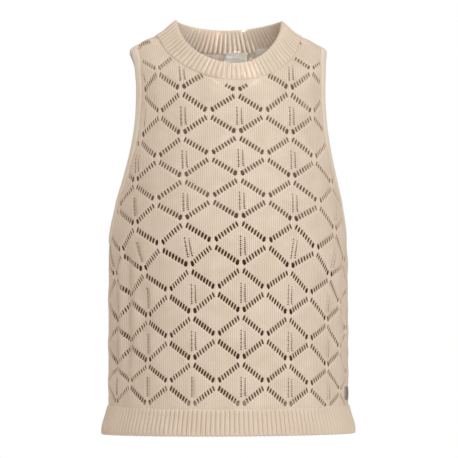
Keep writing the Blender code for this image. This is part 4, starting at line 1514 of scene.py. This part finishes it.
@dataclass
class HemRib(RibbedBand):
    """The ribbed band of the front or the back hem."""

    side: Side = Side.FRONT
    pitch: float = 5.6 * MM
    half_thickness: float = 1.3 * MM
    chart_height: float = 33.0 * MM
    rows: int = 12

    def build(self) -> bpy.types.Object:
        """Knits the band."""
        pattern, form = self.shop.pattern, self.shop.pattern.form
        reach = form.side_length(self.side, np.array([pattern.hem_seam_z]))[0]
        ribs = round(2 * reach / self.pitch)
        columns = ribs * self.columns + 1
        share = np.linspace(-1, 1, columns)
        lower = pattern.hem_z + self.half_thickness - pattern.hem_side_drop * share**2
        # The first row lies under the panel's edge.
        down = np.concatenate([[0.0, 0.055], np.linspace(0.1, 1, self.rows - 2)])[:, None]
        z = (pattern.hem_seam_z + 2.0 * MM) * (1 - down) + lower * down
        s = share * (form.side_length(self.side, z) - 0.02 * MM)
        middle, normal = form.surface(self.side, s, z), form.outward(self.side, s, z)
        up = down[:, 0]
        half = self.half_thickness * (0.4 + 0.6 * ease(up / 0.1))
        lift = self.rise * ease((up - 0.03) / 0.09) * (1 - 0.45 * ease((up - 0.85) / 0.15))
        across = -up * self.chart_height
        phase = np.arange(columns) / self.columns
        along = share * reach
        name = f"hem_{self.side.name.lower()}_rib"
        obj = self.knit(name, middle, normal, half, phase, lift, across, along, closed=False)
        if self.side is Side.FRONT:
            obj.data.flip_normals()
        LOG.info("%s: %d faces", name, len(obj.data.polygons))
        return obj


@dataclass
class ArmholeBand:
    """The plain narrow band round one armhole, folded at its edge."""

    shop: Workshop
    name: str
    mirror: bool
    # Share of the width from the finished edge, and height over the middle layer in millimetres.
    section: tuple[tuple[float, float], ...] = (
        (1.08, 0.9),
        (1.00, 1.35),
        (0.86, 1.65),
        (0.68, 1.75),
        (0.50, 1.75),
        (0.32, 1.75),
        (0.17, 1.60),
        (0.06, 1.15),
        (0.0, 0.45),
        (0.0, -0.35),
        (0.07, -0.95),
        (0.20, -1.35),
        (0.40, -1.50),
        (0.70, -1.45),
        (1.00, -1.30),
        (1.08, -0.9),
    )

    def build(self) -> bpy.types.Object:
        """Makes the band."""
        pattern = self.shop.pattern
        loop = pattern.armhole_loop(10)
        middle = pattern.moved_out(loop, pattern.armband_width / 2)
        along = length_along(pattern.by_side_line(pattern.form.surface, *middle.T))
        across = length_along(np.array(self.section) * (pattern.armband_width, MM))
        rows, chart = [], []
        for (share, height), run in zip(self.section, across):
            w, z = pattern.moved_out(loop, share * pattern.armband_width).T
            out = pattern.by_side_line(pattern.form.outward, w, z)
            rows.append(pattern.by_side_line(pattern.form.surface, w, z) + out * height * MM)
            chart.append(np.stack([along, np.full(len(along), run)], -1))
        points = np.array(rows)
        faces = loft(points, closed=True)
        if self.mirror:
            points = points * (-1, 1, 1)
        else:
            faces = [face[::-1] for face in faces]
        obj = new_mesh_object(self.name, points.reshape(-1, 3), faces, np.concatenate(chart))
        obj.data.materials.append(self.shop.band)
        LOG.info("%s: %d faces", self.name, len(faces))
        return obj


# ---------------------------------------------------------------------------------------------------------
# Labels and tag


@dataclass
class SewnPatch:
    """A thin plain piece that lies on a panel, such as a label or a tag. Its sizes are in millimetres."""

    shop: Workshop
    name: str
    side: Side
    s: float
    width: float
    top: float
    height: float
    thickness: float
    near: float  # from the panel's middle layer
    corner: float  # how far the corners are pulled in, as a share
    finish: bpy.types.Material
    seam_z: float = 0.0  # above this height the patch steps over the neckband's seam
    seam_step: float = 0.0

    def build(self) -> bpy.types.Object:
        """Makes the patch."""
        form = self.shop.pattern.form
        cells = 12
        u, v = np.meshgrid(np.linspace(-1, 1, cells + 1), np.linspace(-1, 1, cells + 1))
        # A square grid pulled in at its corners.
        reach = np.maximum(np.abs(u), np.abs(v))
        pull = 1 - self.corner * (np.minimum(np.abs(u), np.abs(v)) ** 4) * reach
        s = (self.s + self.width / 2 * u * pull) * MM
        z = (self.top - self.height / 2 * (1 + v * pull)) * MM
        edge = 1 - ease((reach - 0.86) / 0.14)
        facing = 1.0 if self.side is Side.FRONT else -1.0
        points, normals = form.surface(self.side, s, z), form.outward(self.side, s, z) * facing
        near = self.near + self.seam_step * ease((z / MM - self.seam_z) / 3.0)
        far = near + self.thickness * (0.45 + 0.55 * edge)
        outer = points + normals * (far * MM)[..., None]
        inner = points + normals * (near * MM)[..., None]
        across = cells + 1
        starts = [r * across + c for r in range(cells) for c in range(cells)]
        faces = [[n, n + 1, n + across + 1, n + across] for n in starts]
        # The grid runs down, so its faces are clockwise seen from outside.
        whole = [face[::-1] for face in double_wall(faces, across**2)]
        vertices = np.concatenate([outer.reshape(-1, 3), inner.reshape(-1, 3)])
        chart = np.tile(np.stack([s.ravel(), z.ravel()], -1), (2, 1))
        obj = new_mesh_object(self.name, vertices, whole, chart)
        obj.data.materials.append(self.finish)
        LOG.info("%s: %d faces", self.name, len(whole))
        return obj

    def stitches(self, name: str, spacing: float) -> bpy.types.Object:
        """A row of stitches along the label's upper edge."""
        form = self.shop.pattern.form
        count = max(2, round(self.width / spacing))
        share = (np.arange(count) + 0.5) / count - 0.5
        s = (self.s + share * (self.width - 1.5)) * MM
        z = np.full(count, (self.top - 1.3) * MM)
        inward = -form.outward(self.side, s, z)
        step = self.seam_step * ease((z / MM - self.seam_z) / 3.0)
        place = form.surface(self.side, s, z) + inward * ((self.near + self.thickness + step) * MM)[:, None]
        along = form.surface(self.side, s + PROBE, z) - form.surface(self.side, s - PROBE, z)
        size = np.tile([1.0, 1.0, 0.75 * spacing * MM], (count, 1))
        return self.shop.lay_yarn(name, place, unit(along), inward, size, 0.16 * MM, Bow=0.12 * MM, Sides=5)


@dataclass
class SeamStitches:
    """The row of linked loops where a band joins the panels."""

    shop: Workshop
    name: str
    spacing: float = 2.0 * MM
    radius: float = 0.42 * MM

    def along_path(self, path: np.ndarray, out: np.ndarray, lift: float, closed: bool) -> bpy.types.Object:
        """Lays the loops along a path.

        Args:
            path: closely spaced points of the seam.
            out: unit normals of the cloth there.
            lift: how far the loops lie over the path.
            closed: whether the path comes back to its start.

        Returns:
            The stitches.
        """
        if closed:
            path, out = np.concatenate([path, path[:1]]), np.concatenate([out, out[:1]])
        run = length_along(path)
        count = int(run[-1] / self.spacing)
        at = (np.arange(count) + 0.5) / count * run[-1]

        def read(values: np.ndarray, shift: float = 0.0) -> np.ndarray:
            return np.stack([np.interp(at + shift, run, values[:, n]) for n in range(3)], -1)

        spots, normals = read(path), unit(read(out))
        forward = unit(read(path, 0.3 * MM) - read(path, -0.3 * MM))
        # Each loop leans across the seam, as a linked stitch does.
        along = unit(forward + 0.55 * np.cross(normals, forward))
        size = np.tile([1.0, 1.0, 1.25 * self.spacing], (count, 1))
        return self.shop.lay_yarn(
            self.name, spots + normals * lift, along, normals, size, self.radius, Bow=0.3 * MM, Sides=5
        )


# ---------------------------------------------------------------------------------------------------------
# Studio


@dataclass(frozen=True)
class Studio:
    """The pale floor, the soft light and the level camera."""

    floor_z: float = -1.6
    floor_radius: float = 12.0
    floor_glow: float = 0.75  # share of its own even light in what the camera sees of the floor
    ambient: float = 0.37
    lens: float = 251.5  # focal length in millimetres, on a sensor 36 mm wide
    eye: tuple[float, float, float] = (-0.4875, -3.970, -0.241)
    look: tuple[float, float, float] = (0.1219, 0.9925, 0.0)
    # Name, place, size, power, spread in degrees and the height aimed at, for each light.
    lights: tuple[tuple[str, tuple[float, float, float], float, float, float, float], ...] = (
        ("Key", (2.9, -2.4, 0.8), 2.2, 40.0, 180.0, -0.24),
        ("Front", (0.7, -3.5, 0.9), 1.6, 28.0, 180.0, -0.24),
        ("Fill", (-2.7, -2.6, 0.6), 2.4, 29.0, 180.0, -0.24),
        ("Top", (0.0, -1.2, 2.6), 2.0, 21.0, 180.0, -0.24),
        ("Back", (-1.2, 3.2, 0.9), 2.0, 36.0, 180.0, -0.24),
        ("Neck", (-0.5, -3.6, 0.45), 0.05, 0.013, 2.2, -0.003),
    )

    def build(self) -> None:
        """Sets the stage."""
        self.floor()
        self.world()
        for name, place, size, energy, spread, height in self.lights:
            light = bpy.data.lights.new(name, "AREA")
            light.energy, light.size, light.shape = energy, size, "SQUARE"
            light.spread = math.radians(spread)
            obj = bpy.data.objects.new(name, light)
            obj.location = place
            aim = Vector((0.0, 0.0, height)) - Vector(place)
            obj.rotation_euler = aim.to_track_quat("-Z", "Y").to_euler()
            bpy.context.scene.collection.objects.link(obj)
        self.camera()
        bpy.context.scene.view_settings.view_transform = "Standard"

    def floor(self) -> None:
        """A wide pale floor, well below the garment."""
        count = 96
        turn = np.arange(count) * math.tau / count
        points = self.floor_radius * np.stack([np.cos(turn), np.sin(turn), 0 * turn], -1) + (0, 0, self.floor_z)
        obj = new_mesh_object("studio_floor", points, [list(range(count))])
        material = bpy.data.materials.new("Matt white studio paper")
        material.use_nodes = True
        tree = material.node_tree
        shader = tree.nodes["Principled BSDF"]
        noise = add_node(tree, "ShaderNodeTexNoise", {"Scale": 3.0, "Detail": 2.0}).outputs["Fac"]
        tint = blend(tree, noise, hex_colour("EDECEA"), hex_colour("F3F2F0"))
        tree.links.new(tint, shader.inputs["Base Color"])
        shader.inputs["Roughness"].default_value = 0.9
        # The paper looks evenly lit to the camera, as paper with its own lamps does.
        camera = add_node(tree, "ShaderNodeLightPath").outputs["Is Camera Ray"]
        share = calc(tree, "MULTIPLY", camera, self.floor_glow)
        even = wire(tree, "ShaderNodeEmission", {"Color": tint, "Strength": 1.0})
        mixed = wire(tree, "ShaderNodeMixShader", {0: share, 1: shader.outputs[0], 2: even})
        tree.links.new(mixed, tree.nodes["Material Output"].inputs["Surface"])
        obj.data.materials.append(material)

    def world(self) -> None:
        """A surround that lights the garment softly and a little warmly, and looks white to the camera."""
        world = bpy.data.worlds.new("White surround")
        world.use_nodes = True
        tree = world.node_tree
        tree.nodes.clear()
        seen = add_node(tree, "ShaderNodeLightPath").outputs["Is Camera Ray"]
        soft = wire(tree, "ShaderNodeBackground", {"Color": hex_colour("FFEBD6"), "Strength": self.ambient})
        white = wire(tree, "ShaderNodeBackground", {"Color": (1.0, 1.0, 1.0, 1.0), "Strength": 1.0})
        mixed = wire(tree, "ShaderNodeMixShader", {0: seen, 1: soft, 2: white})
        add_node(tree, "ShaderNodeOutputWorld", {"Surface": mixed})
        bpy.context.scene.world = world

    def seen_at(self, points: np.ndarray) -> np.ndarray:
        """Where the camera sees points, as slopes to the right and up."""
        away = points - np.array(self.eye)
        ahead = np.array(self.look)
        right = np.array([ahead[1], -ahead[0], 0.0])
        return np.stack([away @ right, away[..., 2]], -1) / (away @ ahead)[..., None]

    def camera(self) -> None:
        """A level camera far in front, a little to the wearer's right."""
        lens = bpy.data.cameras.new("Camera")
        lens.lens, lens.sensor_width = self.lens, 36.0
        lens.clip_end = 100.0
        obj = bpy.data.objects.new("Camera", lens)
        obj.location = self.eye
        obj.rotation_euler = Vector(self.look).to_track_quat("-Z", "Y").to_euler()
        bpy.context.scene.collection.objects.link(obj)
        bpy.context.scene.camera = obj


# ---------------------------------------------------------------------------------------------------------
# The garment


def place_pieces(pieces: Iterable[bpy.types.Object]) -> None:
    """Rides pieces on the garment."""
    for piece in pieces:
        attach(piece, "root")


def main() -> None:
    """Builds the garment, its stage and the camera."""
    logging.basicConfig(level=logging.INFO, format="%(message)s")
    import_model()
    studio = Studio()
    studio.build()
    shop = Workshop()

    by_the_neck = ((0.0, -38.0, 80.0, 21.0),)
    by_left_arm = ((135.0, -135.0, 38.0, 118.0),)
    slack = Lattice(slit_width=0.8, squeeze=0.0)  # the back hangs slack, so its ladders close up
    front_maker = LatticePanel(shop, Side.FRONT, shut_places=by_left_arm)
    front, front_rungs = front_maker.build()
    hidden = studio.seen_at(front_maker.open_places)
    back, back_rungs = LatticePanel(
        shop,
        Side.BACK,
        slack,
        shut_places=by_the_neck,
        studio=studio,
        in_front=hidden,
        rung_radius=0.75 * MM,
        leaf_open=False,
    ).build()
    neck_maker = Neckband(shop)
    neck = neck_maker.build()
    hems = {side: HemRib(shop, side=side).build() for side in Side}
    bands = [
        ArmholeBand(shop, "armhole_band_left_knit", mirror=False).build(),
        ArmholeBand(shop, "armhole_band_right_knit", mirror=True).build(),
    ]
    over_seam = {"seam_z": -21.0, "seam_step": 2.2}
    neck_patch = SewnPatch(
        shop, "neck_label_satin", Side.BACK, 16.0, 29.0, -15.0, 29.0, 0.6, 1.3, 0.02, shop.satin, **over_seam
    )
    over_seam = {"seam_z": -18.0, "seam_step": 2.2}
    size_patch = SewnPatch(
        shop, "size_label_satin", Side.BACK, 49.5, 20.0, -10.5, 20.0, 0.6, 1.3, 0.03, shop.satin, **over_seam
    )
    tag_patch = SewnPatch(
        shop, "side_tag_metal", Side.FRONT, 174.5, 15.0, -437.0, 16.5, 1.1, 1.5, 0.1, shop.metal
    )
    labels = [neck_patch.build(), size_patch.build()]
    tag = tag_patch.build()
    label_stitches = [
        neck_patch.stitches("neck_label_stitches", 1.6),
        size_patch.stitches("size_label_stitches", 1.6),
    ]
    seam, out = neck_maker.seam()
    neck_stitches = SeamStitches(shop, "neck_seam_stitches").along_path(seam, out, 1.35 * MM, closed=True)

    place_pieces([front, back, front_rungs, back_rungs])
    place_pieces([neck, *hems.values(), *bands, neck_stitches])
    place_pieces([*labels, *label_stitches])
    place_pieces([tag])
    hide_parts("front")
    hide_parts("back")
    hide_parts("neckband")
    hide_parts("hem_rib_front")
    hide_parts("hem_rib_back")
    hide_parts("armhole_band_left")
    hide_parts("armhole_band_right")
    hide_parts("neck_label")
    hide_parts("size_label")
    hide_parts("side_tag")

    bpy.context.view_layer.update()


if __name__ == "__main__":
    main()
